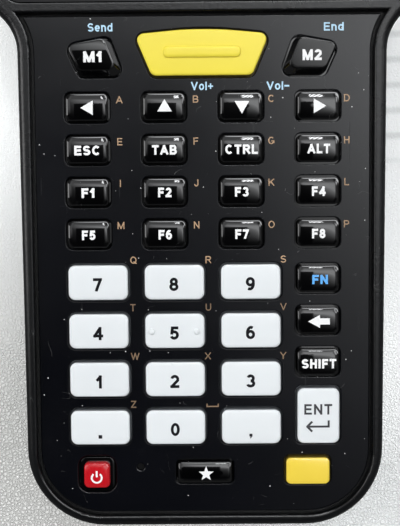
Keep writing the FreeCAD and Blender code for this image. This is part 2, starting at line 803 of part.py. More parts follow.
def rear_housing():
    """Lower casing: rounded back with the finger hollow, battery bay, bosses and window openings."""
    outside = prism(casing_wire(0), 0, parting_z)
    outside = outside.makeFillet(back_edge_r, edges_on(outside, 0))
    space = prism(casing_wire(wall), back_floor, parting_z + 1)
    space = space.makeFillet(back_hollow_r, edges_on(space, back_floor)).cut(scoop(wall))
    half = bay_half + bay_wall
    block = box(-half, half, bay_wall_y, bay_top_y + 4.6, 0, bay_depth + bay_wall).common(outside)
    shell = outside.cut(space).cut(scoop(0)).fuse(block)
    adds = latch_guides()
    for x, y in all_screws():
        adds.append(upright(head_boss_r, x, y, 1.0, head_boss_top).common(outside))
        adds.append(upright(boss_r, x, y, 1.0, parting_z))
    for side in (-1, 1):
        adds.append(upright(insert_boss_r, side * insert_spacing / 2, insert_y, 0.5, insert_depth + 1.5))
        x = side * (engine_size[0] / 2 + 1.0)
        adds.append(box(x - 0.7, x + 0.7, top_y - 17.5, top_y - 5.5, back_floor - 0.2, 9.0))
    lead_in_z = hook_floor_z + lip_lead_in
    lead_in_y = bay_top_y - bay_corner_r
    cuts = [bay_space(), box(-bay_half, bay_half, lead_in_y, lip_start_y, -1, lead_in_z)]
    cuts.append(box(-9.0, 9.0, contact_y - 3.0, contact_y + 3.0, bay_depth - 1, bay_depth + bay_wall + 1))
    pocket = hook_width / 2 + 0.3
    for side in (-1, 1):
        x = side * hook_x
        y1, z1 = tilt_y + hook_nose_r + 0.3, tilt_z + hook_nose_r + 0.3
        cuts.append(box(x - pocket, x + pocket, bay_top_y - 1, y1, hook_floor_z, z1))
        cuts.append(upright(insert_r, side * insert_spacing / 2, insert_y, -1, insert_depth))
    for x, y in all_screws():
        cuts.append(upright(screw_head_r + 0.2, x, y, -1, screw_head_z + screw_head_height))
        cuts.append(upright(screw_shank_r + 0.15, x, y, 0, parting_z + 1))
    cuts += latch_cuts() + window_cuts() + [seal_ring(0.05, parting_z - seal_depth, parting_z + 1)]
    return shell.fuse(adds).cut(cuts).removeSplitter()


def bay_space():
    y = (bay_bottom_y + bay_top_y) / 2
    return rounded_box(0, y, 2 * bay_half, bay_length, bay_corner_r, -1, bay_depth)


def latch_guides():
    """Rails over the slider's flange, and the post that holds the leaf catch on the bay wall."""
    x0 = slider_width / 2 + 1.4
    z0 = back_floor + slip + slider_flange + slip
    rail = box(x0, x0 + 1.2, slider_front_y - 8.5, bay_wall_y, back_floor, z0 + 0.8)
    lip = box(x0 - 1.0, x0, slider_front_y - 8.5, bay_wall_y, z0, z0 + 0.8)
    post = rod(catch_post_r, (0, bay_wall_y - catch_leaf - 0.4, catch_post_z), (0, 1, 0), catch_leaf + 0.9)
    return both_sides(rail.fuse(lip)) + [post]


def latch_cuts():
    """Slot for the release slider in the chin, and the catch's way through the bay wall."""
    y1 = slider_front_y + slip
    y0 = slider_front_y - slider_length - slider_travel - slip
    half = slider_width / 2 + slip
    way = catch_width / 2 + 0.3
    return [
        box(-half, half, y0, y1, -1, back_floor + 1),
        box(-way, way, bay_wall_y - 1, bay_bottom_y + 1, catch_z - catch_drop - 0.6, catch_z + 0.4),
    ]


def window_cuts():
    """Scan window in the head wall, camera and flash windows and the speaker's slots in the back."""
    w, h = window_width / 2 + slip, window_height / 2 + slip
    see_w, see_h = window_width / 2 - window_border, window_height / 2 - window_border
    y0, y1 = top_y - window_thickness - window_set_back, top_y + 1
    slots = []
    for i in range(grille_slots):
        y = camera_y + (i - (grille_slots - 1) / 2) * grille_pitch
        width, height = grille_slot
        slots.append(rounded_box(speaker_x, y, width, height, height / 2 - 0.02, -1, back_floor + 1))
    return slots + [
        box(-w, w, y0, y1, window_z - h, window_z + h),
        box(-see_w, see_w, top_y - wall - 1, y1, window_z - see_h, window_z + see_h),
        upright(camera_r + slip, 0, camera_y, -1, lens_seat_z),
        upright(camera_r - camera_border, 0, camera_y, -1, back_floor + 1),
        upright(flash_r + slip, flash_x, camera_y, -1, lens_seat_z),
        upright(flash_r - 0.7, flash_x, camera_y, -1, back_floor + 1),
    ]


def seal_ring(grow, z0, z1):
    outer = prism(casing_wire(seal_inset - grow), z0, z1)
    inner = prism(casing_wire(seal_inset + seal_width + grow), z0 - 1, z1 + 1)
    return outer.cut(inner)


def battery_pack():
    """Pack with its outer cover: hooks at the head end, catch slot at the other, contact pads on top."""
    y0, y1 = bay_bottom_y + pack_end_gap, bay_top_y - pack_side_gap
    z0, z1 = pack_drop, pack_top_z
    half = bay_half - pack_side_gap
    outline = [
        (y0, z0), (y1 - pack_lower_chamfer, z0), (y1, z0 + pack_lower_chamfer), (y1, z1),
        (y0 + pack_chamfer, z1), (y0, z1 - pack_chamfer),
    ]
    pack = side_profile(outline, -half, half)
    pack = pack.makeFillet(pack_corner_r, [e for e in pack.Edges if e.Length > 8 and is_upright(e)])
    adds = []
    for side in (-1, 1):
        x0 = side * hook_x - hook_width / 2
        adds.append(box(x0, x0 + hook_width, y1 - 1, tilt_y, tilt_z - hook_tab / 2, tilt_z + hook_tab / 2))
        adds.append(rod(hook_nose_r, (x0, tilt_y, tilt_z), (1, 0, 0), hook_width))
    slot = catch_width / 2 + 0.4
    cuts = [box(-slot, slot, y0 - 1, y0 + catch_bite + 0.6, catch_z - catch_drop - 0.5, catch_z + slip)]
    for x in battery_contact_x:
        cuts.append(box(x - 1.1, x + 1.1, contact_y - 2.5, contact_y + 2.5, z1 - 0.3, z1 + 1))
        adds.append(box(x - 1.0, x + 1.0, contact_y - 2.3, contact_y + 2.3, z1 - 0.35, z1 - 0.1))
    for i in range(6):
        y = bay_bottom_y + 18.0 + i * 3.0
        cuts.append(side_profile([(y - 0.8, z0 - 0.1), (y, z0 + 0.6), (y + 0.8, z0 - 0.1)], -17, 17))
    return pack.cut(cuts).fuse(adds).removeSplitter()


def battery_latch():
    """Ribbed release slider in the chin, with the finger that draws the catch back."""
    y1 = slider_front_y
    y0 = y1 - slider_length
    half = slider_width / 2
    z1 = back_floor + slip
    z2 = z1 + slider_flange
    plate = box(-half, half, y0, y1, slider_floor_drop, z1)
    flange = box(-half - 1.2, half + 1.2, y0 - 0.6, y1, z1, z2)
    finger = box(-1.6, 1.6, y1 - 1.0, y1 - 0.2, z2, z2 + 1.4)
    ribs = []
    for start in (0.9, 2.2, 3.5):
        ribs.append(box(1.5 - half, half - 1.5, y0 + start, y0 + start + 0.6, 0.1, slider_floor_drop))
    return plate.fuse([flange, finger] + ribs).removeSplitter()


def catch_spring():
    """Leaf spring on the bay wall; its nose bites into the pack and its tail lies behind the finger."""
    nose_y = bay_bottom_y + pack_end_gap + catch_bite
    tail_y = slider_front_y - 1.3
    low = catch_z - catch_drop
    back = bay_wall_y - catch_leaf
    outline = [
        (bay_wall_y, 12.0), (bay_wall_y, catch_z), (nose_y, catch_z), (nose_y, catch_z - 0.6),
        (bay_wall_y, low), (tail_y, low), (tail_y, 3.4), (tail_y - catch_leaf, 3.4),
        (tail_y - catch_leaf, low + catch_leaf), (back, low + catch_leaf), (back, 12.0),
    ]
    leaf = side_profile(outline, -catch_width / 2, catch_width / 2)
    return leaf.cut(rod(catch_post_r + slip, (0, back - 1, catch_post_z), (0, 1, 0), catch_leaf + 2))


def scan_window():
    w, h = window_width, window_height
    y1 = top_y - window_set_back
    pane = box(-w / 2, w / 2, y1 - window_thickness, y1, window_z - h / 2, window_z + h / 2)
    return pane.makeFillet(1.2, [e for e in pane.Edges if abs(e.Length - window_thickness) < 0.01])


def scan_engine():
    """Imager block with its lens barrel and aiming lens."""
    width, depth, height = engine_size
    y1 = top_y - wall - 3.3
    z0 = back_floor + 0.1
    block = box(-width / 2, width / 2, y1 - depth, y1, z0, z0 + height)
    barrel = rod(3.8, (-4.5, y1, window_z), (0, 1, 0), 2.6)
    bore = rod(2.9, (-4.5, y1 + 1.4, window_z), (0, 1, 0), 2.0)
    aimer = rod(1.9, (6.0, y1, window_z), (0, 1, 0), 1.8)
    return block.fuse([barrel, aimer]).cut(bore).removeSplitter()


def camera_window():
    lens = upright(camera_r, 0, camera_y, 0.25, lens_seat_z)
    flash = upright(flash_r, flash_x, camera_y, 0.25, lens_seat_z)
    return Part.makeCompound([lens, flash])


def housing_screws():
    """Six socket-head screws, up from deep bores in the back into the front casing's bosses."""
    screws = []
    for x, y in all_screws():
        seat = screw_head_z + screw_head_height
        head = upright(screw_head_r, x, y, screw_head_z, seat)
        shank = upright(screw_shank_r, x, y, seat, screw_tip_z)
        socket = upright(0.9, x, y, screw_head_z - 1, screw_head_z + 0.9)
        screws.append(head.fuse(shank).cut(socket).removeSplitter())
    return Part.makeCompound(screws)


def write(name, shape):
    shape.exportStep("parts/" + name + ".step")
    solids = shape.Solids
    valid = all(s.isValid() for s in solids)
    print(f"{name:20s} solids {len(solids):3d} valid {valid} volume {shape.Volume:10.2f}")


def main():
    os.makedirs("parts", exist_ok=True)
    keys = key_layout()
    pieces = {
        "front_housing": front_housing(keys),
        "rear_housing": rear_housing(),
        "keypad_panel": keypad_panel(keys),
        "keypad_mat": keypad_mat(keys),
        "snap_domes": snap_domes(keys),
        "keypad_board": keypad_board(),
        "main_board": main_board(),
        "touch_glass": touch_glass(),
        "display_module": display_module(),
        "battery_pack": battery_pack(),
        "battery_latch": battery_latch(),
        "catch_spring": catch_spring(),
        "right_trigger": trigger(),
        "left_trigger": mirrored(trigger()),
        "port_flap": port_flap(),
        "usb_connector": usb_connector(),
        "charging_contacts": charging_contacts(),
        "scan_window": scan_window(),
        "scan_engine": scan_engine(),
        "camera_window": camera_window(),
        "housing_seal": seal_ring(0, parting_z - seal_depth, parting_z),
        "housing_screws": housing_screws(),
    }
    for name, (corners, radius) in keys.items():
        pieces["key_" + name] = key(name, corners, radius)
    for name, shape in pieces.items():
        write(name, shape)
    print(len(pieces), "nodes")


main()
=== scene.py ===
# %% [markdown]
# # Portable data terminal
# This lesson dresses a finished CAD model of a hand-held terminal: a touch screen above a keypad of
# 38 separate keys. The CAD model gives every piece its place and its joints. Here the keys get their
# real pillowed form and their lettering, and every surface gets a finish.
#
# The first step brings the CAD model in. Its pieces could be moved or edited, but they carry the
# measured sizes, so they stay as they are, and only what a picture needs is made anew. Blender works in
# metres. New shapes are written in millimetres, as in the CAD model, and scaled once when they are placed.

import json
import math

import bmesh
import bpy
from mathutils import Matrix, Vector
from mathutils.bvhtree import BVHTree

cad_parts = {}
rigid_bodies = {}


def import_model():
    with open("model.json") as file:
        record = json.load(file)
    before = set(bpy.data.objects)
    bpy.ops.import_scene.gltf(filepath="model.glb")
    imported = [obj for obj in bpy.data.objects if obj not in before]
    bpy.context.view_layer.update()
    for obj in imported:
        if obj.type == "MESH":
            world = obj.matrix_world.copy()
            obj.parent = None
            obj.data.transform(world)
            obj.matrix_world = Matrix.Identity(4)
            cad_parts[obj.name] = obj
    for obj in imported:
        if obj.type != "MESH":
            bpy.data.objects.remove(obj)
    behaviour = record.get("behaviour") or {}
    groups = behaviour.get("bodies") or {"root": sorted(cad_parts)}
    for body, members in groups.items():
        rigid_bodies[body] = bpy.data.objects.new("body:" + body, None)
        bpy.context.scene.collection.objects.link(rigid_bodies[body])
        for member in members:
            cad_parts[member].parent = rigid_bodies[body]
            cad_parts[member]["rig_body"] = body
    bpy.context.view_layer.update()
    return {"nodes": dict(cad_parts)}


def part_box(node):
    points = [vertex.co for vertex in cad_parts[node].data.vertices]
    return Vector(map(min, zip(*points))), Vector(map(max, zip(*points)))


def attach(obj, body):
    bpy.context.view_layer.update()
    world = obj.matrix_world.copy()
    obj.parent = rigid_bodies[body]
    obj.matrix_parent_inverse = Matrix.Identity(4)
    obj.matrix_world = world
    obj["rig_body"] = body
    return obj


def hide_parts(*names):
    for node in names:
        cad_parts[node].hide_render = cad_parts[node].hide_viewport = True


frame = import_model()
MM = 0.001
scene = bpy.context.scene
scene.view_settings.view_transform = "Standard"

# %% [markdown]
# ## Camera
# The picture is taken by hand from about 180 mm above the keypad, tipped by four degrees. A camera
# could be aimed by eye, but its place and lens come from a fit to the key grid, so they are numbers.

# %% Camera
camera_data = bpy.data.cameras.new("photo_camera")
camera_data.sensor_width = 36.0
camera_data.lens = 66.8
camera_data.clip_start = 0.01
camera = bpy.data.objects.new("photo_camera", camera_data)
camera.location = (0.00062, -0.04421, 0.20607)
camera.rotation_euler = [math.radians(a) for a in (-4.185, 0.368, -0.462)]
scene.collection.objects.link(camera)
scene.camera = camera
print("lens", camera_data.lens, "mm at", tuple(camera.location))

# %% [markdown]
# ## Helpers for materials
# A procedural finish is a small network of nodes. Written out by hand, each network takes many lines,
# so a few helpers add a node with its settings, join sockets, and do sums on them. Everything reads
# Object coordinates, which are metres here, so the size of a grain is its size on the real thing.


# %% Material helpers
def add_node(tree, kind, inputs=None, **settings):
    """One shader node, with its settings and its unlinked input values."""
    node = tree.nodes.new(kind)
    for name, value in settings.items():
        setattr(node, name, value)
    for name, value in (inputs or {}).items():
        node.inputs[name].default_value = value
    return node


def join(tree, *pairs):
    """Links each pair of an output socket and an input socket."""
    for source, target in pairs:
        tree.links.new(source, target)


def plug(tree, value, slot):
    """Links a socket to an input, or writes a plain number or colour into it."""
    if isinstance(value, bpy.types.NodeSocket):
        tree.links.new(value, slot)
    else:
        slot.default_value = value


def math_node(tree, operation, first, second=None):
    """A Math node on sockets or plain numbers; returns its output socket."""
    node = add_node(tree, "ShaderNodeMath", operation=operation)
    plug(tree, first, node.inputs[0])
    if second is not None:
        plug(tree, second, node.inputs[1])
    return node.outputs[0]


def product(tree, first, *factors):
    """Multiplies sockets and numbers; returns the output socket."""
    for factor in factors:
        first = math_node(tree, "MULTIPLY", first, factor)
    return first


def total(tree, first, *terms):
    """Adds sockets and numbers; returns the output socket."""
    for term in terms:
        first = math_node(tree, "ADD", first, term)
    return first


def flipped(tree, value):
    """One less the value, which turns a mask inside out."""
    return math_node(tree, "SUBTRACT", 1.0, value)


def ramp(tree, value, low, high, to_low=0.0, to_high=1.0):
    """A smooth step of a value from low to high; returns its output socket."""
    node = add_node(tree, "ShaderNodeMapRange", interpolation_type="SMOOTHSTEP")
    for name, number in (("From Min", low), ("From Max", high), ("To Min", to_low), ("To Max", to_high)):
        node.inputs[name].default_value = number
    tree.links.new(value, node.inputs["Value"])
    return node.outputs["Result"]


def band(tree, value, rise, top, fall, end):
    """1 from top to fall, and smoothly down to 0 at rise and at end; returns the output socket."""
    return product(tree, ramp(tree, value, rise, top), ramp(tree, value, fall, end, 1.0, 0.0))


def blend_colours(tree, factor, first, second):
    """Mixes two colours or colour sockets; returns the output socket."""
    node = add_node(tree, "ShaderNodeMix", data_type="RGBA")
    for value, index in ((factor, 0), (first, 6), (second, 7)):
        plug(tree, value, node.inputs[index])
    return node.outputs[2]


def blend_values(tree, factor, first, second):
    """Mixes two numbers or sockets; returns the output socket."""
    node = add_node(tree, "ShaderNodeMix", data_type="FLOAT")
    for value, index in ((factor, 0), (first, 2), (second, 3)):
        plug(tree, value, node.inputs[index])
    return node.outputs[0]


def texture(tree, kind, place, inputs=None, **settings):
    """A texture node that is read at the given coordinates."""
    node = add_node(tree, "ShaderNodeTex" + kind, inputs, **settings)
    join(tree, (place, node.inputs["Vector"]))
    return node


def axes_of(tree, place):
    """The x, y and z sockets of a vector."""
    node = add_node(tree, "ShaderNodeSeparateXYZ")
    join(tree, (place, node.inputs["Vector"]))
    return node.outputs["X"], node.outputs["Y"], node.outputs["Z"]


def raise_skin(tree, shader, height, strength, distance):
    """Lifts the shader's surface by a height mask; the distance is in metres."""
    raised = add_node(tree, "ShaderNodeBump", {"Strength": strength, "Distance": distance})
    join(tree, (height, raised.inputs["Height"]), (raised.outputs["Normal"], shader.inputs["Normal"]))
    return raised


print("material helpers ready")

# %% [markdown]
# ## Shared effects
# Dust, handling marks, moulded grain and worn edges appear on many of the pieces. Each effect could be
# copied into every material, but a node group is built once and then placed with its own values. A
# group only puts out masks and heights; the shader itself stays in the material.


# %% Group maker
def new_group(name, inputs, outputs):
    """An empty node group with float inputs (name, default) and float outputs."""
    group = bpy.data.node_groups.new(name, "ShaderNodeTree")
    for label, default in inputs:
        made = group.interface.new_socket(name=label, in_out="INPUT", socket_type="NodeSocketFloat")
        made.default_value = default
    for label in outputs:
        group.interface.new_socket(name=label, in_out="OUTPUT", socket_type="NodeSocketFloat")
    start = group.nodes.new("NodeGroupInput")
    end = group.nodes.new("NodeGroupOutput")
    where = group.nodes.new("ShaderNodeTexCoord")
    return group, start, end, where.outputs["Object"]


# %% [markdown]
# Moulded grain: tools for plastic casings are etched, which leaves tiny rounded pits. Two noises, one
# fine and one coarser, give such a skin. A Voronoi pattern would look like leather.

# %% Moulded grain
grain, start, end, place = new_group("moulded_grain", [("Size", 0.25), ("Depth", 1.0)], ["Height", "Painted_glints"])
per_metre = math_node(grain, "DIVIDE", 1000.0, start.outputs["Size"])
fine = texture(grain, "Noise", place, {"Detail": 2.0, "Roughness": 0.6})
coarse = texture(grain, "Noise", place, {"Detail": 1.0})
join(grain, (per_metre, fine.inputs["Scale"]), (product(grain, per_metre, 0.31), coarse.inputs["Scale"]))
both = total(grain, fine.outputs["Fac"], coarse.outputs["Fac"])
join(grain, (product(grain, both, start.outputs["Depth"]), end.inputs["Height"]))
# The second output masks painted glints: the fine noise's peaks, made paler in the colour where light would
# catch the grain.
join(grain, (ramp(grain, fine.outputs["Fac"], 0.64, 0.76), end.inputs["Painted_glints"]))
print("group", grain.name)

# %% [markdown]
# Dust: a used keypad carries pale specks and a few short fibres. Specks are the small cores of Voronoi
# cells, kept only where each cell's random colour says so. Fibres are thin level lines of a stretched
# noise, cut off by a second mask.

# %% Dust and fibres
dust, start, end, place = new_group("dust", [("Spacing", 1.6), ("Share", 0.35), ("Speck", 0.035)], ["Mask"])
cells = texture(dust, "Voronoi", place, {"Randomness": 1.0})
join(dust, (math_node(dust, "DIVIDE", 1000.0, start.outputs["Spacing"]), cells.inputs["Scale"]))
chance = add_node(dust, "ShaderNodeSeparateColor")
join(dust, (cells.outputs["Color"], chance.inputs["Color"]))
kept = math_node(dust, "LESS_THAN", chance.outputs["Red"], start.outputs["Share"])
reach = product(dust, chance.outputs["Green"], start.outputs["Speck"])
core = math_node(dust, "LESS_THAN", cells.outputs["Distance"], reach)
specks = product(dust, core, kept)
line = texture(dust, "Noise", place, {"Scale": 260.0, "Detail": 0.0, "Distortion": 0.6})
spots = texture(dust, "Noise", place, {"Scale": 330.0, "Detail": 0.0})
off_line = math_node(dust, "ABSOLUTE", math_node(dust, "SUBTRACT", line.outputs["Fac"], 0.5))
on_line = math_node(dust, "LESS_THAN", off_line, 0.0016)
in_spot = math_node(dust, "GREATER_THAN", spots.outputs["Fac"], 0.7)
fibres = product(dust, on_line, in_spot, 0.12)
haze = texture(dust, "Noise", place, {"Scale": 190.0, "Detail": 6.0, "Roughness": 0.75})
cloud = ramp(dust, haze.outputs["Fac"], 0.6, 0.82, 0.0, 0.014)
loose = math_node(dust, "MAXIMUM", specks, fibres)
join(dust, (math_node(dust, "MAXIMUM", loose, cloud), end.inputs["Mask"]))
print("group", dust.name)

# %% [markdown]
# Handling: fingers leave soft patches that shine less, and cleaning leaves faint hair lines. Both change
# only roughness, which is why they show in reflections and hardly in colour.

# %% Handling marks
handling, start, end, place = new_group("handling", [("Patch", 14.0), ("Amount", 0.1)],
                                        ["Rougher", "Scratch"])
patches = texture(handling, "Noise", place, {"Detail": 3.0, "Roughness": 0.55})
join(handling, (math_node(handling, "DIVIDE", 1000.0, start.outputs["Patch"]), patches.inputs["Scale"]))
patch = math_node(handling, "SUBTRACT", patches.outputs["Fac"], 0.5)
join(handling, (product(handling, patch, start.outputs["Amount"]), end.inputs["Rougher"]))
turned = add_node(handling, "ShaderNodeMapping")
turned.inputs["Rotation"].default_value = (0.0, 0.0, 0.6)
turned.inputs["Scale"].default_value = (1.0, 0.04, 1.0)
join(handling, (place, turned.inputs["Vector"]))
hair = texture(handling, "Noise", turned.outputs["Vector"], {"Scale": 900.0, "Detail": 1.0})
join(handling, (ramp(handling, hair.outputs["Fac"], 0.72, 0.78), end.inputs["Scratch"]))
print("group", handling.name)

# %% [markdown]
# Worn edges: dark plastic turns paler where it rubs. The Bevel node gives the normal that a rounded edge
# would have, and where that differs from the true normal there is an edge. A noise breaks the line up.

# %% Worn edges
wear, start, end, place = new_group("worn_edges", [("Width", 0.25), ("Amount", 0.6)], ["Mask"])
rounded = add_node(wear, "ShaderNodeBevel", samples=6)
join(wear, (product(wear, start.outputs["Width"], 0.001), rounded.inputs["Radius"]))
surface = add_node(wear, "ShaderNodeNewGeometry")
agree = add_node(wear, "ShaderNodeVectorMath", operation="DOT_PRODUCT")
join(wear, (rounded.outputs["Normal"], agree.inputs[0]), (surface.outputs["Normal"], agree.inputs[1]))
edge_mask = ramp(wear, flipped(wear, agree.outputs["Value"]), 0.02, 0.2)
breaks = texture(wear, "Noise", place, {"Scale": 420.0, "Detail": 3.0})
patchy = product(wear, edge_mask, ramp(wear, breaks.outputs["Fac"], 0.48, 0.66))
join(wear, (product(wear, patchy, start.outputs["Amount"]), end.inputs["Mask"]))
print("group", wear.name)

# %% [markdown]
# Painted shade in the grooves: grooves and gaps are painted darker than open faces, for the shade that
# falls in them, and are made rougher, so their shine is dull. The Ambient Occlusion node measures how
# shut in a point is within a short reach. Painting the grooves by hand would need a map for each piece.

# %% Painted shade in the grooves
painted_groove_shade, start, end, place = new_group("painted_groove_shade", [("Reach", 1.0)], ["Mask"])
shut_in = add_node(painted_groove_shade, "ShaderNodeAmbientOcclusion", samples=8)
join(painted_groove_shade, (product(painted_groove_shade, start.outputs["Reach"], 0.001), shut_in.inputs["Distance"]))
join(painted_groove_shade, (ramp(painted_groove_shade, shut_in.outputs["AO"], 0.25, 0.7, 1.0, 0.0), end.inputs["Mask"]))
print("group", painted_groove_shade.name)

# %% [markdown]
# ## Finishes
# One maker serves all plastics and rubbers: a base colour with a slow drift in tone, grain as bump,
# handling marks in the roughness, dust and worn edges as paler spots, painted glints as pale specks on
# the grain, and painted shade in the grooves. Each finish differs only in its numbers, as real plastics
# from one supplier do.


# %% Plastic maker
PAINTED_GLINT_COLOUR = (0.35, 0.36, 0.37, 1.0)
RUBBED_COLOUR = (0.22, 0.22, 0.23, 1.0)
DUST_COLOUR = (0.62, 0.62, 0.61, 1.0)
BLACK_PRINT_AND_HOLE_SHADE = (0.002, 0.002, 0.002, 1.0)
GRAIN_HEIGHT = 0.00006


def use_group(tree, group, **values):
    """Places a node group and sets its inputs."""
    node = add_node(tree, "ShaderNodeGroup", node_tree=group)
    for name, value in values.items():
        node.inputs[name].default_value = value
    return node


def new_material(name):
    """An empty node material; returns it with its tree, shader and Object coordinates."""
    material = bpy.data.materials.new(name)
    material.use_nodes = True
    tree = material.node_tree
    tree.nodes.clear()
    shader = tree.nodes.new("ShaderNodeBsdfPrincipled")
    out = tree.nodes.new("ShaderNodeOutputMaterial")
    join(tree, (shader.outputs["BSDF"], out.inputs["Surface"]))
    where = tree.nodes.new("ShaderNodeTexCoord")
    return material, tree, shader, where.outputs["Object"]


def plastic(name, colour, roughness, grain_size=0.25, bump=0.0, coat=0.0, dusty=0.0, worn=0.0,
            patch=0.12, scratch=0.0, sparkle=0.0, speck=0.035, tone=0.12, soft_edge=0.0, groove_shade_reach=0.0,
            shine=0.5):
    """A moulded plastic, rubber or lacquer with its own grain, dust and wear. Lengths are millimetres."""
    material, tree, shader, place = new_material(name)
    pale = tuple(min(1.0, c * (1 + tone) + 0.0008) for c in colour) + (1.0,)
    deep = tuple(c * (1 - tone) for c in colour) + (1.0,)
    drift = texture(tree, "Noise", place, {"Scale": 45.0, "Detail": 3.0})
    tint = blend_colours(tree, ramp(tree, drift.outputs["Fac"], 0.3, 0.7), deep, pale)
    marks = use_group(tree, handling, Amount=patch)
    rough = total(tree, marks.outputs["Rougher"], roughness)
    if scratch:
        rough = total(tree, rough, product(tree, marks.outputs["Scratch"], scratch))
    if soft_edge:
        bevelled = add_node(tree, "ShaderNodeBevel", {"Radius": soft_edge * MM}, samples=8)
        join(tree, (bevelled.outputs["Normal"], shader.inputs["Normal"]))
    if bump:
        skin = use_group(tree, grain, Size=grain_size)
        raised = raise_skin(tree, shader, skin.outputs["Height"], bump, GRAIN_HEIGHT)
        if soft_edge:
            join(tree, (bevelled.outputs["Normal"], raised.inputs["Normal"]))
        # Painted glints: the grain's peaks are mixed towards pale grey in the colour.
        if sparkle:
            lit = product(tree, skin.outputs["Painted_glints"], sparkle)
            tint = blend_colours(tree, lit, tint, PAINTED_GLINT_COLOUR)
    if worn:
        rubbed = use_group(tree, wear, Amount=worn)
        tint = blend_colours(tree, rubbed.outputs["Mask"], tint, RUBBED_COLOUR)
    if dusty:
        fallen = use_group(tree, dust, Share=dusty, Speck=speck)
        tint = blend_colours(tree, fallen.outputs["Mask"], tint, DUST_COLOUR)
        rough = total(tree, rough, product(tree, fallen.outputs["Mask"], 0.5))
    # Painted shade: shut-in points are darkened towards a fifth of the colour and made rougher.
    if groove_shade_reach:
        groove_shading = use_group(tree, painted_groove_shade, Reach=groove_shade_reach)
        tint = blend_colours(tree, groove_shading.outputs["Mask"], tint, tuple(c * 0.2 for c in colour) + (1.0,))
        rough = total(tree, rough, product(tree, groove_shading.outputs["Mask"], 0.6))
    join(tree, (tint, shader.inputs["Base Color"]))
    join(tree, (math_node(tree, "MAXIMUM", rough, 0.03), shader.inputs["Roughness"]))
    shader.inputs["Coat Weight"].default_value = coat
    shader.inputs["Coat Roughness"].default_value = 0.04
    shader.inputs["Specular IOR Level"].default_value = shine
    return material


def metal(name, colour, roughness, streak=0.1, bump=0.05):
    """Drawn or turned metal: a fine streak in roughness and height along one direction."""
    material, tree, shader, place = new_material(name)
    along = add_node(tree, "ShaderNodeMapping")
    along.inputs["Scale"].default_value = (1.0, 0.08, 1.0)
    join(tree, (place, along.inputs["Vector"]))
    lines = texture(tree, "Noise", along.outputs["Vector"], {"Scale": 6000.0, "Detail": 2.0})
    dull = tuple(c * 0.7 for c in colour) + (1.0,)
    tint = blend_colours(tree, lines.outputs["Fac"], dull, colour + (1.0,))
    join(tree, (tint, shader.inputs["Base Color"]))
    swing = product(tree, math_node(tree, "SUBTRACT", lines.outputs["Fac"], 0.5), streak * 2)
    join(tree, (total(tree, swing, roughness), shader.inputs["Roughness"]))
    raise_skin(tree, shader, lines.outputs["Fac"], bump, 0.00002)
    shader.inputs["Metallic"].default_value = 1.0
    return material


# %% [markdown]
# The finishes themselves. Greys are read from the picture: the casing is charcoal with a rough skin, the
# panel is a nearly black film with a soft shine, and the key caps are clear-coated.

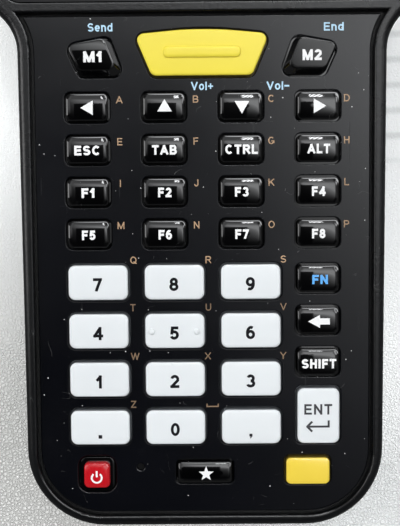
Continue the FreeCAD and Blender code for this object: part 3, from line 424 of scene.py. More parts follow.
# %% The finishes
finish = {
    "casing": plastic("casing_charcoal", (0.0016, 0.0018, 0.0024), 0.28, 0.32, 0.45, dusty=0.25, worn=0.015,
                      sparkle=0.03, soft_edge=0.25, groove_shade_reach=0.9),
    "panel": plastic("panel_black", (0.0006, 0.0009, 0.0024), 0.22, dusty=0.9, scratch=0.12, patch=0.08,
                     speck=0.075, soft_edge=0.22),
    "cap_black": plastic("cap_gloss_black", (0.001, 0.001, 0.0012), 0.035, coat=0.5, dusty=0.3, patch=0.02,
                         soft_edge=0.05),
    "cap_worn": plastic("cap_worn_black", (0.001, 0.001, 0.0012), 0.2, dusty=0.3, patch=0.04, soft_edge=0.05),
    "cap_white": plastic("cap_satin_white", (0.735, 0.762, 0.775), 0.3, 0.4, 0.05, tone=0.015),
    # The grey and ochre of the cap walls are painted shade for the narrow gap round each white or yellow cap.
    "shaded_side_white": plastic("cap_side_grey", (0.16, 0.17, 0.185), 0.45, 0.3, 0.05),
    "cap_yellow": plastic("cap_satin_yellow", (0.83, 0.69, 0.055), 0.4, 0.4, 0.05, tone=0.03),
    "shaded_side_yellow": plastic("cap_side_ochre", (0.16, 0.11, 0.012), 0.45, 0.3, 0.05),
    "cap_amber": plastic("cap_gloss_yellow", (0.87, 0.645, 0.07), 0.2, coat=0.4, tone=0.04),
    "cap_red": plastic("cap_gloss_red", (0.46, 0.006, 0.012), 0.2, coat=0.2, tone=0.08, shine=0.35),
    "silicone": plastic("mat_silicone", (0.02, 0.02, 0.022), 0.6, 0.5, 0.3),
    "ink_white": plastic("ink_white", (0.86, 0.86, 0.86), 0.4, tone=0.05),
    "ink_black": plastic("ink_black", (0.008, 0.008, 0.01), 0.4, tone=0.3, shine=0.1),
    "ink_grey": plastic("ink_grey", (0.05, 0.05, 0.055), 0.45, tone=0.25, shine=0.2),
    "ink_tan": plastic("ink_tan", (0.41, 0.26, 0.15), 0.5, tone=0.2),
    "ink_tan_shaded": plastic("ink_tan_shaded", (0.22, 0.145, 0.09), 0.5, tone=0.2, shine=0.2),
    "ink_pale_blue": plastic("ink_pale_blue", (0.46, 0.69, 0.86), 0.5, tone=0.08),
    "ink_blue": plastic("ink_blue", (0.1, 0.4, 0.86), 0.45, tone=0.08),
    "battery": plastic("battery_shell", (0.016, 0.0165, 0.018), 0.45, 0.3, 0.6, dusty=0.1, worn=0.5,
                       sparkle=0.08),
    "slider": plastic("slider_plastic", (0.03, 0.03, 0.032), 0.4, 0.25, 0.3, worn=0.7),
    "trigger": plastic("trigger_yellow", (0.9, 0.62, 0.05), 0.4, 0.35, 0.25, tone=0.05),
    "flap": plastic("flap_rubber", (0.02, 0.02, 0.021), 0.7, 0.35, 0.5, dusty=0.3),
    "display": plastic("display_off", (0.006, 0.0065, 0.008), 0.25, 0.2, 0.05, patch=0.05),
    "window": plastic("scan_pane", (0.03, 0.0012, 0.002), 0.06, dusty=0.2, patch=0.05, scratch=0.08,
                      coat=0.3),
    "engine": plastic("engine_black", (0.012, 0.012, 0.012), 0.55, 0.3, 0.3),
    "seal": plastic("seal_rubber", (0.035, 0.035, 0.037), 0.75, 0.4, 0.4),
    "steel": metal("spring_steel", (0.62, 0.62, 0.64), 0.3),
    "shell_steel": metal("connector_steel", (0.7, 0.7, 0.72), 0.26),
    "dome_steel": metal("dome_steel", (0.75, 0.75, 0.76), 0.22),
    "gold": metal("contact_gold", (0.9, 0.66, 0.28), 0.2, 0.06),
    "brass": metal("insert_brass", (0.78, 0.55, 0.25), 0.3),
    "screw": metal("screw_blackened", (0.12, 0.12, 0.13), 0.35),
}
print("finishes:", len(finish))

# %% [markdown]
# ## Key caps
# A moulded key cap has a slight skirt, a sloped shoulder and a pillowed top. One could bevel a box, but
# then the slope, the crisp edge and the pillow can't be set one by one. Here the outline starts as a
# few corner points that a vertex bevel rounds. The top face is then extruded again and again, each
# time scaled towards the middle and lifted, so a short table of (inset, height) pairs is the profile.

# %% Key places
CAP_WALL = 27.02
PANEL_TOP = 26.8
FLANGE_LOW = 24.9
FLANGE_TOP = 25.5
FLANGE = 0.45
POWER_FLANGE = 1.25
POWER_FRAME = 26.5
SHADED_SIDE_TOP = 27.6
key_nodes = sorted(n for n in frame["nodes"] if n.startswith("key_"))
slanted_keys = {
    "m1": [(-22.15, -23.15), (-14.35, -23.15), (-16.9, -16.28), (-24.6, -17.7)],
    "m2": [(14.35, -23.15), (22.15, -23.15), (24.6, -17.7), (16.9, -16.28)],
    "scan": [(-9.1, -23.25), (9.1, -23.25), (12.2, -15.85), (0.0, -14.7), (-12.2, -15.85)],
}
body_of_key = {n: frame["nodes"][n]["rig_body"] for n in key_nodes}
print("keys:", len(key_nodes))


# %% Cap maker
def rounded_face(bm, corners, radius, z, segments=7, crown=None):
    """One face over the corners, each corner rounded by a vertex bevel."""
    verts = [bm.verts.new((x, y, z)) for x, y in corners]
    bm.faces.new(verts)
    for i, vert in enumerate(verts):
        back = Vector(corners[i - 1]) - Vector(corners[i])
        ahead = Vector(corners[(i + 1) % len(corners)]) - Vector(corners[i])
        turn = radius if crown is None or i != crown[0] else crown[1]
        reach = turn / math.tan(back.angle(ahead) / 2)
        bmesh.ops.bevel(bm, geom=[vert], offset=reach, offset_type="OFFSET", affect="VERTICES",
                        segments=segments, profile=0.5, material=-1, clamp_overlap=False)
    for edge in [e for e in bm.edges if e.calc_length() > 1.4]:
        bmesh.ops.subdivide_edges(bm, edges=[edge], cuts=int(edge.calc_length() / 0.7))
    bm.faces.ensure_lookup_table()
    return bm.faces[0]


def span(points):
    """The middle of the points' rectangle, then half its width and half its height."""
    xs, ys = [p[0] for p in points], [p[1] for p in points]
    return (min(xs) + max(xs)) / 2, (min(ys) + max(ys)) / 2, (max(xs) - min(xs)) / 2, (max(ys) - min(ys)) / 2


def closed_block(corners, radius, rings, crown=None):
    """A bmesh of one closed block in millimetres. Each ring is (inset from the outline, height)."""
    bm = bmesh.new()
    middle_x, middle_y, half_x, half_y = span(corners)
    to_middle = Matrix.Translation((-middle_x, -middle_y, 0.0))
    face = rounded_face(bm, corners, radius, rings[0][1], crown=crown)
    inset = 0.0
    for level, (new_inset, height) in enumerate(rings):
        if level > 0:
            made = bmesh.ops.extrude_face_region(bm, geom=[face])["geom"]
            if level > 1:
                bmesh.ops.delete(bm, geom=[face], context="FACES_ONLY")
            face = next(g for g in made if isinstance(g, bmesh.types.BMFace))
        scale = ((half_x - new_inset) / (half_x - inset), (half_y - new_inset) / (half_y - inset), 1.0)
        bmesh.ops.scale(bm, vec=scale, space=to_middle, verts=list(face.verts))
        bmesh.ops.translate(bm, vec=(0, 0, height - face.verts[0].co.z), verts=list(face.verts))
        inset = new_inset
    bmesh.ops.recalc_face_normals(bm, faces=bm.faces)
    return bm


# %% [markdown]
# A finished mesh goes into the scene through one helper. It turns millimetres into metres, marks the
# creases, says which body the piece rides on, and hides the CAD node it stands for.


# %% Into the scene
def place_piece(name, bm, body, materials, stands_for=None, crease=35.0):
    """Makes a scene object from a bmesh in millimetres, smooth except at its creases."""
    bmesh.ops.scale(bm, vec=(MM, MM, MM), verts=bm.verts)
    for edge in bm.edges:
        edge.smooth = not edge.is_manifold or edge.calc_face_angle(0.0) < math.radians(crease)
    for face in bm.faces:
        face.smooth = True
    mesh = bpy.data.meshes.new(name)
    bm.to_mesh(mesh)
    for material in materials:
        mesh.materials.append(material)
    piece = bpy.data.objects.new(name, mesh)
    scene.collection.objects.link(piece)
    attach(piece, body)
    if stands_for:
        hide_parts(stands_for)
    return piece


print("piece helpers ready")

# %% [markdown]
# Three profiles serve all caps: the black ones have nearly upright sides and a tight edge, the white and
# yellow ones a softer edge, and the two M keys a wide slope. Inside the edge the rings go on to the
# middle, and two bows, one across and one along, lift them into a smooth pillow. A dome made as the
# product of the bows would pinch what the cap mirrors at its corners, and a subdivision surface would
# round the tight edge away.

# %% The caps
skirt = [(-FLANGE, FLANGE_LOW), (-FLANGE, FLANGE_TOP), (0.0, FLANGE_TOP), (0.0, CAP_WALL)]
crisp = skirt + [(0.0, 27.5), (0.05, 27.631), (0.12, 27.715), (0.2, 27.769), (0.3, 27.816), (0.4, 27.851),
                 (0.54, 27.887)]
soft = skirt + [(0.0, 27.6), (0.03, 27.73), (0.1, 27.83), (0.21, 27.89), (0.34, 27.92)]
sloped = skirt + [(0.0, 27.1), (0.5, 27.74), (0.54, 27.82), (0.6, 27.88), (0.7, 27.92), (0.82, 27.94)]
cap_finish = {
    "key_white": "cap_white", "key_black": "cap_black", "key_yellow": "cap_yellow", "key_red": "cap_red",
}
caps = {}


def slot_of(node):
    """The record's material slot of a CAD node."""
    return frame["nodes"][node].data.materials[0].name.split(".")[0]


def key_outline(key):
    """The corners of a key's cap at the panel, from its CAD box less the flange."""
    if key in slanted_keys:
        return slanted_keys[key]
    low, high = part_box("key_" + key)
    reach = POWER_FLANGE if key == "power" else FLANGE
    x0, x1 = low.x / MM + reach, high.x / MM - reach
    y0, y1 = low.y / MM + reach, high.y / MM - reach
    return [(x0, y0), (x1, y0), (x1, y1), (x0, y1)]


def lean_cap(bm, x, y):
    """Moves the top of a cap sideways, so that the slopes towards the middle keys grow wider."""
    for vert in bm.verts:
        share = min(max((vert.co.z - CAP_WALL) / 0.7, 0.0), 1.0)
        vert.co.x += x * share
        vert.co.y += y * share


def bowed(out):
    """Height of a bow, 1 in the middle and 0 at the edge, that turns down faster near the edge."""
    out = min(out, 1.0)
    return 1 - 0.6 * out ** 2 - 0.4 * out ** 4


def pillow(bm, edge_z, bow_x, bow_y, sink=0.0):
    """Bows the top across and along, and fades the lift out down the walls."""
    middle_x, middle_y, half_x, half_y = span([v.co for v in bm.verts if v.co.z > edge_z - 0.001])
    for vert in bm.verts:
        share = min(max((vert.co.z - CAP_WALL) / (edge_z - CAP_WALL), 0.0), 1.0)
        across = bowed(abs(vert.co.x - middle_x) / half_x)
        along = bowed(abs(vert.co.y - middle_y) / half_y)
        vert.co.z += share * (bow_x * across + bow_y * along - sink)


BOWS = {
    "key_black": (0.13, 0.19, 0.15), "key_white": (0.08, 0.12, 0.0), "key_yellow": (0.08, 0.12, 0.0),
    "key_red": (0.1, 0.15, 0.0), "m1": (0.09, 0.13, 0.05), "m2": (0.03, 0.03, 0.0),
}
RADIUS = {"scan": 1.3, "m1": 1.3, "m2": 1.3, "star": 0.6}
for node in key_nodes:
    key = node[4:]
    slot = slot_of(node)
    corners = key_outline(key)
    rings = crisp if slot in ("key_black", "key_red") else soft
    if key in ("m1", "m2"):
        rings = sloped
    if key == "power":
        rings = [(-POWER_FLANGE, FLANGE_LOW), (-POWER_FLANGE, FLANGE_TOP), (-0.8, FLANGE_TOP), (-0.8, 26.38),
                 (-0.74, 26.47), (-0.64, POWER_FRAME), (-0.05, POWER_FRAME), (0.0, POWER_FRAME)] + crisp[3:]
    edge_inset, edge_z = rings[-1]
    inwards = min(span(corners)[2:]) - 0.12 - edge_inset
    steps = int(inwards / 0.3)
    rings = rings + [(edge_inset + (i + 1) * inwards / steps, edge_z) for i in range(steps)]
    radius = RADIUS.get(key, 1.2 if slot == "key_white" else 0.9)
    bm = closed_block(corners, radius, rings, (3, 60.0) if key == "scan" else None)
    pillow(bm, edge_z, *BOWS.get(key, BOWS[slot]))
    if key in ("m1", "m2"):
        lean_cap(bm, -0.45 if key == "m1" else 0.45, 0.4)
    top = {"yellow": "cap_amber", "m2": "cap_worn"}.get(key, cap_finish[slot])
    side = {"key_white": "shaded_side_white", "key_yellow": "shaded_side_yellow"}.get(slot, "cap_black")
    # Faces below the wall's top take the second finish; on white and yellow caps that is the painted shade.
    for face in bm.faces:
        level = face.calc_center_median().z
        face.material_index = int(level < (POWER_FRAME + 0.01 if key == "power" else SHADED_SIDE_TOP))
    caps[key] = place_piece("cap_" + key, bm, body_of_key[node], [finish[top], finish[side]], node)
print("caps:", len(caps), "triangles each about", sum(len(p.vertices) - 2 for p in caps["8"].data.polygons))

# %% [markdown]
# Two caps carry more form: the scan key has a raised bar that the thumb finds, and the 5 has two small
# nibs. Each is its own small block or dome, sunk a little into the cap that carries it.

# %% Thumb bar and nibs
bar_rings = [(0.0, 27.9), (0.0, 28.22), (0.05, 28.36), (0.14, 28.47), (0.27, 28.54), (0.45, 28.58),
             (0.7, 28.6)]
bar_corners = [(-7.0, -20.1), (7.0, -20.1), (7.0, -18.05), (-7.0, -18.05)]
thumb_bar = closed_block(bar_corners, 0.8, bar_rings)
place_piece("thumb_bar", thumb_bar, "cap_scan", [finish["cap_yellow"]])
middle_x, middle_y = span(key_outline("5"))[:2]
for side in (-1, 1):
    nib = bmesh.new()
    bmesh.ops.create_uvsphere(nib, u_segments=24, v_segments=12, radius=0.62)
    bmesh.ops.scale(nib, vec=(1.0, 1.0, 0.65), verts=nib.verts)
    bmesh.ops.translate(nib, vec=(middle_x + side * 4.15 - 0.1, middle_y - 0.1, 28.03), verts=nib.verts)
    place_piece("nib_left" if side < 0 else "nib_right", nib, body_of_key["key_5"], [finish["cap_white"]])
print("thumb bar and nibs in place")

# %% [markdown]
# ## Lettering
# The legends are plain bold sans-serif print. Blender's own font has other shapes, such as a 1 without
# a flag, and an image would blur. So each letter is drawn as a sign writer would, from a few straight
# strokes and arcs. In the table a stroke of four numbers is a line, and one of six is an arc: its
# middle, its two radii, and the angles where it starts and ends. Everything is in shares of the letter.

# %% The alphabet
ALPHABET = {
    "A": (0.9, (0, 0, 0.5, 1), (1, 0, 0.5, 1), (0.2, 0.28, 0.8, 0.28)),
    "B": (0.78, (0, 0, 0, 1), (0, 1, 0.6, 1), (0, 0.5, 0.6, 0.5), (0, 0, 0.6, 0),
          (0.58, 0.75, 0.34, 0.25, -90, 90), (0.6, 0.25, 0.4, 0.25, -90, 90)),
    "C": (0.84, (0.5, 0.5, 0.5, 0.5, 42, 318)),
    "D": (0.8, (0, 0, 0, 1), (0, 0, 0.4, 0), (0, 1, 0.4, 1), (0.4, 0.5, 0.6, 0.5, -90, 90)),
    "E": (0.72, (0, 0, 0, 1), (0, 0, 1, 0), (0, 1, 0.96, 1), (0, 0.52, 0.9, 0.52)),
    "F": (0.68, (0, 0, 0, 1), (0, 1, 1, 1), (0, 0.5, 0.85, 0.5)),
    "G": (0.86, (0.5, 0.5, 0.5, 0.5, 48, 335), (0.6, 0.42, 1, 0.42), (1, 0.15, 1, 0.42)),
    "H": (0.76, (0, 0, 0, 1), (1, 0, 1, 1), (0, 0.53, 1, 0.53)),
    "I": (0.0, (0, 0, 0, 1)),
    "J": (0.6, (1, 0.3, 1, 1), (0.5, 0.3, 0.5, 0.3, 180, 360)),
    "K": (0.82, (0, 0, 0, 1), (0, 0.32, 0.95, 1), (0.35, 0.6, 1, 0)),
    "L": (0.66, (0, 0, 0, 1), (0, 0, 1, 0)),
    "M": (0.96, (0, 0, 0, 1), (1, 0, 1, 1), (0.04, 1, 0.5, 0), (0.96, 1, 0.5, 0)),
    "N": (0.78, (0, 0, 0, 1), (1, 0, 1, 1), (0.02, 1, 0.98, 0)),
    "O": (0.88, (0.5, 0.5, 0.5, 0.5, 0, 360)),
    "P": (0.74, (0, 0, 0, 1), (0, 1, 0.6, 1), (0, 0.44, 0.6, 0.44), (0.58, 0.72, 0.42, 0.28, -90, 90)),
    "Q": (0.88, (0.5, 0.5, 0.5, 0.5, 0, 360), (0.6, 0.22, 1.02, -0.04)),
    "R": (0.8, (0, 0, 0, 1), (0, 1, 0.6, 1), (0, 0.48, 0.6, 0.48), (0.58, 0.74, 0.38, 0.26, -90, 90),
          (0.55, 0.45, 1, 0)),
    "S": (0.76, (0.5, 0.75, 0.47, 0.25, 22, 270), (0.5, 0.25, 0.5, 0.25, 90, -158)),
    "T": (0.74, (0, 1, 1, 1), (0.5, 0, 0.5, 1)),
    "U": (0.76, (0, 0.35, 0, 1), (1, 0.35, 1, 1), (0.5, 0.35, 0.5, 0.35, 180, 360)),
    "V": (0.86, (0, 1, 0.5, 0), (1, 1, 0.5, 0)),
    "W": (1.2, (0, 1, 0.25, 0), (0.5, 1, 0.25, 0), (0.5, 1, 0.75, 0), (1, 1, 0.75, 0)),
    "X": (0.84, (0, 0, 1, 1), (0, 1, 1, 0)),
    "Y": (0.86, (0, 1, 0.5, 0.42), (1, 1, 0.5, 0.42), (0.5, 0, 0.5, 0.42)),
    "Z": (0.74, (0, 1, 1, 1), (0, 0, 1, 0), (0, 0, 1, 1)),
    "d": (0.66, (1, 0, 1, 1), (0.5, 0.36, 0.5, 0.36, 0, 360)),
    "e": (0.66, (0.5, 0.36, 0.5, 0.36, 0, 318), (0.1, 0.36, 0.95, 0.36)),
    "l": (0.0, (0, 0, 0, 1)),
    "n": (0.62, (0, 0, 0, 0.72), (1, 0, 1, 0.42), (0.5, 0.42, 0.5, 0.3, 0, 180)),
    "o": (0.68, (0.5, 0.36, 0.5, 0.36, 0, 360)),
    "+": (0.66, (0.5, 0.16, 0.5, 0.74), (0, 0.45, 1, 0.45)),
    "-": (0.62, (0, 0.45, 1, 0.45)),
    "0": (0.68, (0.5, 0.5, 0.5, 0.5, 0, 360)),
    "1": (0.42, (1, 0, 1, 1), (0, 0.7, 0.95, 1)),
    "2": (0.68, (0.5, 0.72, 0.48, 0.28, 168, -22), (0.92, 0.57, 0.02, 0.02), (0, 0, 1, 0)),
    "3": (0.68, (0.48, 0.75, 0.44, 0.25, 160, -90), (0.48, 0.25, 0.52, 0.25, 90, -160)),
    "4": (0.74, (0.76, 0, 0.76, 1), (0, 0.27, 1, 0.27), (0, 0.27, 0.74, 1)),
    "5": (0.68, (0.2, 1, 0.92, 1), (0.1, 0.5, 0.2, 1), (0.48, 0.31, 0.52, 0.31, 132, -156)),
    "6": (0.68, (0.5, 0.31, 0.5, 0.31, 0, 360), (0.58, 0.5, 0.58, 0.5, 62, 195)),
    "7": (0.66, (0, 1, 1, 1), (1, 1, 0.34, 0)),
    "8": (0.68, (0.5, 0.75, 0.42, 0.25, 0, 360), (0.5, 0.26, 0.5, 0.26, 0, 360)),
    "9": (0.68, (0.5, 0.69, 0.5, 0.31, 0, 360), (0.42, 0.5, 0.58, 0.5, 242, 375)),
}
print("letters drawn:", len(ALPHABET))


# %% Strokes
def bar(bm, x, y, width, height, turn=0.0, lift=0.0):
    """A flat bar in a legend."""
    place = Matrix.Translation((x, y, lift)) @ Matrix.Rotation(math.radians(turn), 4, "Z")
    place = place @ Matrix.Diagonal((width, height, 1.0, 1.0))
    bmesh.ops.create_grid(bm, x_segments=1, y_segments=1, size=0.5, matrix=place)


def arc(bm, x, y, radius_x, radius_y, start, end, stroke, lift=0.0):
    """A curved band: an edge spun round, then each rim set on its own ellipse."""
    inner = bm.verts.new((0.5, 0, 0))
    outer = bm.verts.new((1.5, 0, 0))
    edge = bm.edges.new((inner, outer))
    whole = abs(end - start) >= 360
    before = set(bm.verts) - {inner, outer}
    bmesh.ops.spin(bm, geom=[inner, outer, edge], cent=(0, 0, 0), axis=(0, 0, 1), use_merge=whole,
                   angle=math.radians(end - start), steps=max(6, int(abs(end - start) / 12)))
    for vert in set(bm.verts) - before:
        turn = math.atan2(vert.co.y, vert.co.x) + math.radians(start)
        side = stroke / 2 if vert.co.length > 1 else -stroke / 2
        vert.co = (x + (radius_x + side) * math.cos(turn), y + (radius_y + side) * math.sin(turn), lift)


def letter(character, tall, stroke):
    """One flat letter with its lower left corner at the origin; returns it with its width."""
    bm = bmesh.new()
    share, *strokes = ALPHABET[character]
    room_x, room_y = max(share * tall - stroke, 0.0), tall - stroke
    half = stroke / 2
    for index, numbers in enumerate(strokes):
        x0, y0 = half + numbers[0] * room_x, half + numbers[1] * room_y
        if len(numbers) == 6:
            arc(bm, x0, y0, numbers[2] * room_x, numbers[3] * room_y, *numbers[4:], stroke, index * 0.003)
            continue
        x1, y1 = half + numbers[2] * room_x, half + numbers[3] * room_y
        length, turn = math.hypot(x1 - x0, y1 - y0), math.degrees(math.atan2(y1 - y0, x1 - x0))
        bar(bm, (x0 + x1) / 2, (y0 + y1) / 2, length + stroke, stroke, turn, index * 0.003)
    for level, side in ((0.0, -1), (tall, 1)):
        everything = bm.verts[:] + bm.edges[:] + bm.faces[:]
        bmesh.ops.bisect_plane(bm, geom=everything, plane_co=(0, level, 0), plane_no=(0, side, 0),
                               clear_outer=True)
    return bm, max(share * tall, stroke)


def word(characters, tall, stroke, width=None, gap=0.16):
    """A flat word round its own middle, stretched to a width if one is given."""
    whole = bmesh.new()
    reach = 0.0
    for character in characters:
        bm, wide = letter(character, tall, stroke * tall)
        bmesh.ops.translate(bm, vec=(reach, 0, 0), verts=bm.verts)
        mesh = bpy.data.meshes.new("letter")
        bm.to_mesh(mesh)
        whole.from_mesh(mesh)
        bpy.data.meshes.remove(mesh)
        reach += wide + gap * tall
    reach -= gap * tall
    bmesh.ops.translate(whole, vec=(-reach / 2, -tall / 2, 0), verts=whole.verts)
    if width:
        bmesh.ops.scale(whole, vec=(width / reach, 1, 1), verts=whole.verts)
    return thicken(whole)


def thicken(bm):
    """Turns flat faces into closed plates 0.04 mm thick."""
    made = bmesh.ops.extrude_face_region(bm, geom=bm.faces[:])["geom"]
    bmesh.ops.translate(bm, vec=(0, 0, 0.04), verts=[g for g in made if isinstance(g, bmesh.types.BMVert)])
    bmesh.ops.translate(bm, vec=(0, 0, -0.02), verts=bm.verts)
    bmesh.ops.recalc_face_normals(bm, faces=bm.faces)
    return bm


def triangle(bm, x, y, width, height, turn):
    """A flat triangle whose tip points along the turn, in degrees from +X."""
    place = Matrix.Translation((x, y, 0)) @ Matrix.Rotation(math.radians(turn), 4, "Z")
    place = place @ Matrix.Diagonal((width / 1.5, height / math.sqrt(3), 1.0, 1.0))
    place = place @ Matrix.Rotation(math.radians(-90), 4, "Z")
    bmesh.ops.create_circle(bm, segments=3, radius=1.0, cap_ends=True, matrix=place)


print("strokes, letters and words ready")


# %% Symbols
def arrow_head(turn):
    """A plain triangle."""
    bm = bmesh.new()
    triangle(bm, 0, 0, 2.25, 2.65, turn)
    return thicken(bm)


def star_shape():
    """A star of five points: a circle of ten corners, with every second one drawn in."""
    bm = bmesh.new()
    bmesh.ops.create_circle(bm, segments=10, radius=1.45, cap_ends=True)
    bm.verts.ensure_lookup_table()
    tips = sorted(bm.verts, key=lambda v: math.atan2(v.co.y, v.co.x))
    top = max(range(10), key=lambda i: tips[i].co.y)
    inner = [tips[i] for i in range(10) if (i - top) % 2]
    bmesh.ops.scale(bm, vec=(0.42, 0.42, 1), verts=inner)
    return thicken(bm)


def back_arrow():
    """A thick arrow to the left."""
    bm = bmesh.new()
    triangle(bm, -0.53, 0, 2.2, 2.45, 180)
    bar(bm, 0.95, 0.0, 2.1, 1.15, 0, 0.003)
    return thicken(bm)


def return_arrow():
    """A thin arrow that comes down and turns left."""
    bm = bmesh.new()
    bar(bm, 0.1, -0.2, 4.2, 0.38)
    bar(bm, 2.02, 0.28, 0.38, 1.34, 0, 0.003)
    bar(bm, -1.5, 0.24, 1.4, 0.4, 46, 0.006)
    bar(bm, -1.5, -0.64, 1.4, 0.4, -46, 0.009)
    return thicken(bm)


def power_mark():
    """A ring, open at the top, with an upright bar."""
    bm = bmesh.new()
    arc(bm, 0, 0, 0.92, 0.92, 130, 410, 0.34)
    bar(bm, 0, 0.72, 0.34, 1.15, 0, 0.003)
    return thicken(bm)


def space_mark():
    """A flat bracket that opens upwards."""
    bm = bmesh.new()
    bar(bm, 0, -0.4, 2.3, 0.22)
    bar(bm, -1.04, -0.2, 0.22, 0.62, 0, 0.003)
    bar(bm, 1.04, -0.2, 0.22, 0.62, 0, 0.006)
    return thicken(bm)


print("symbols ready")


# %% Laying a legend on a surface
def surface_tree(piece):
    """A ray-cast tree of a piece's mesh, in millimetres."""
    bm = bmesh.new()
    bm.from_mesh(piece.data)
    bmesh.ops.scale(bm, vec=(1 / MM, 1 / MM, 1 / MM), verts=bm.verts)
    return BVHTree.FromBMesh(bm)


def lay(bm, x, y, tree=None, level=None, cut=0.6):
    """Moves a legend to its place and drops each vertex on the surface below it, 0.01 mm proud."""
    bmesh.ops.translate(bm, vec=(x, y, 0), verts=bm.verts)
    if tree:
        for axis in (0, 1):
            low = min(v.co[axis] for v in bm.verts)
            high = max(v.co[axis] for v in bm.verts)
            for step in range(1, int((high - low) / cut) + 1):
                point = [0.0, 0.0, 0.0]
                point[axis] = low + step * cut
                normal = [0.0, 0.0, 0.0]
                normal[axis] = 1.0
                everything = bm.verts[:] + bm.edges[:] + bm.faces[:]
                bmesh.ops.bisect_plane(bm, geom=everything, plane_co=point, plane_no=normal)
    for vert in bm.verts:
        ground = level if tree is None else tree.ray_cast((vert.co.x, vert.co.y, 40.0), (0, 0, -1))[0].z
        vert.co.z += ground + 0.005
    return bm


print("legends are cut every 0.6 mm")

# %% [markdown]
# Every cap now gets its legend, which rides on the same body as the cap. Words on black caps are bold
# and white, digits on white caps are thinner and black.

# %% Legends on the caps
white_words = {
    "esc": ("ESC", 4.75), "tab": ("TAB", 4.5), "ctrl": ("CTRL", 5.9), "alt": ("ALT", 4.1),
    "f1": ("F1", 2.35), "f2": ("F2", 2.45), "f3": ("F3", 2.5), "f4": ("F4", 2.5),
    "f5": ("F5", 2.45), "f6": ("F6", 2.45), "f7": ("F7", 2.45), "f8": ("F8", 2.45),
    "shift": ("SHIFT", 6.35), "m1": ("M1", 3.3), "m2": ("M2", 3.45),
}
symbols = {
    "left": (180, 0.42, -0.12), "up": (90, 0.15, -0.15),
    "down": (-90, 0.15, 0.12), "right": (0, -0.12, -0.12),
}
legend_shift = {"m1": (-0.25, -0.1), "m2": (0.39, -0.07), "shift": (0.12, -0.2), "power": (0.0, -0.35)}
digit_shift = (-0.1, -0.35)


def add_legend(key, bm, ink, shift):
    """Lays a legend on its cap, measured from the middle of the cap's outline."""
    x, y = span(key_outline(key))[:2]
    lay(bm, x + shift[0], y + shift[1], surface_tree(caps[key]))
    return place_piece("legend_" + key, bm, body_of_key["key_" + key], [finish[ink]], crease=60.0)


for key, (words, width) in white_words.items():
    tall = 1.95 if key in ("m1", "m2") else 1.75
    add_legend(key, word(words, tall, 0.24, width), "ink_white", legend_shift.get(key, (0.05, -0.1)))
for key, (turn, x, y) in symbols.items():
    add_legend(key, arrow_head(turn), "ink_white", (x, y))
add_legend("fn", word("FN", 1.7, 0.23, 2.85), "ink_blue", (0.3, -0.12))
add_legend("backspace", back_arrow(), "ink_white", (0.1, -0.1))
add_legend("star", star_shape(), "ink_white", (0.2, -0.15))
add_legend("power", power_mark(), "ink_white", legend_shift["power"])
add_legend("enter", word("ENT", 1.95, 0.19, 5.15, 0.2), "ink_grey", (-0.08, 1.28))
arrow = return_arrow()
lay(arrow, key_outline("enter")[0][0] + 3.7, key_outline("enter")[0][1] + 3.4, surface_tree(caps["enter"]))
place_piece("legend_enter_arrow", arrow, body_of_key["key_enter"], [finish["ink_grey"]])
for digit in "0123456789":
    add_legend(digit, word(digit, 2.45, 0.215), "ink_black", digit_shift)
dot = bmesh.new()
bar(dot, 0, 0, 0.68, 0.68)
add_legend("point", thicken(dot), "ink_black", (0.0, -1.65))
comma = bmesh.new()
bar(comma, 0, 0, 0.56, 0.52)
bar(comma, 0.02, -0.36, 0.2, 0.55, -28, 0.003)
add_legend("comma", thicken(comma), "ink_black", (-0.1, -1.5))

# %% [markdown]
# The panel carries a second layer of print: tan letters beside the keys and pale blue words above them.
# The panel is flat, so these need no cutting.

# %% Print on the panel
four_across = (-15.1, -1.2, 12.55, 26.3)
letter_rows = [
    ("ABCD", -27.4, four_across), ("EFGH", -35.0, four_across),
    ("IJKL", -42.6, four_across), ("MNOP", -50.3, four_across),
    ("QRS", -56.7, (-12.9, 0.9, 14.7)), ("TUV", -65.5, (-13.1, 0.85, 14.7)),
    ("WXY", -74.6, (-12.8, 0.7, 14.65)), ("Z", -83.6, (-13.2,)),
]
for letters, y, xs in letter_rows:
    for character, x in zip(letters, xs):
        bm = lay(word(character, 1.32, 0.15), x, y, level=PANEL_TOP)
        # Painted shade: the lower rows use a darker copy of the tan ink, as does the space mark below.
        ink = "ink_tan" if y > -60 else "ink_tan_shaded"
        place_piece("print_" + character, bm, "terminal", [finish[ink]])
space = lay(space_mark(), 1.5, -83.7, level=PANEL_TOP)
place_piece("print_space", space, "terminal", [finish["ink_tan_shaded"]])
blue_words = [
    ("Send", -18.4, -14.4, 4.5), ("End", 23.9, -14.6, 3.6),
    ("Vol+", 0.0, -25.05, 4.0), ("Vol-", 13.8, -25.1, 4.1),
]
for words, x, y, width in blue_words:
    bm = lay(word(words, 1.5, 0.185, width), x, y, level=PANEL_TOP)
    name = "print_" + words.replace("+", "_up").replace("-", "_down")
    place_piece(name, bm, "terminal", [finish["ink_pale_blue"]])

# %% [markdown]
# ## Finishes with places
# Some pieces carry several looks on one mesh: a circuit board has green board, gold pads and steel
# shields, the screen glass has a black border round the picture area, and the camera's window has rings
# round the lens. The CAD pieces could be split, but Object coordinates say where a point is on the
# terminal, so plain comparisons of x, y and z choose the look.


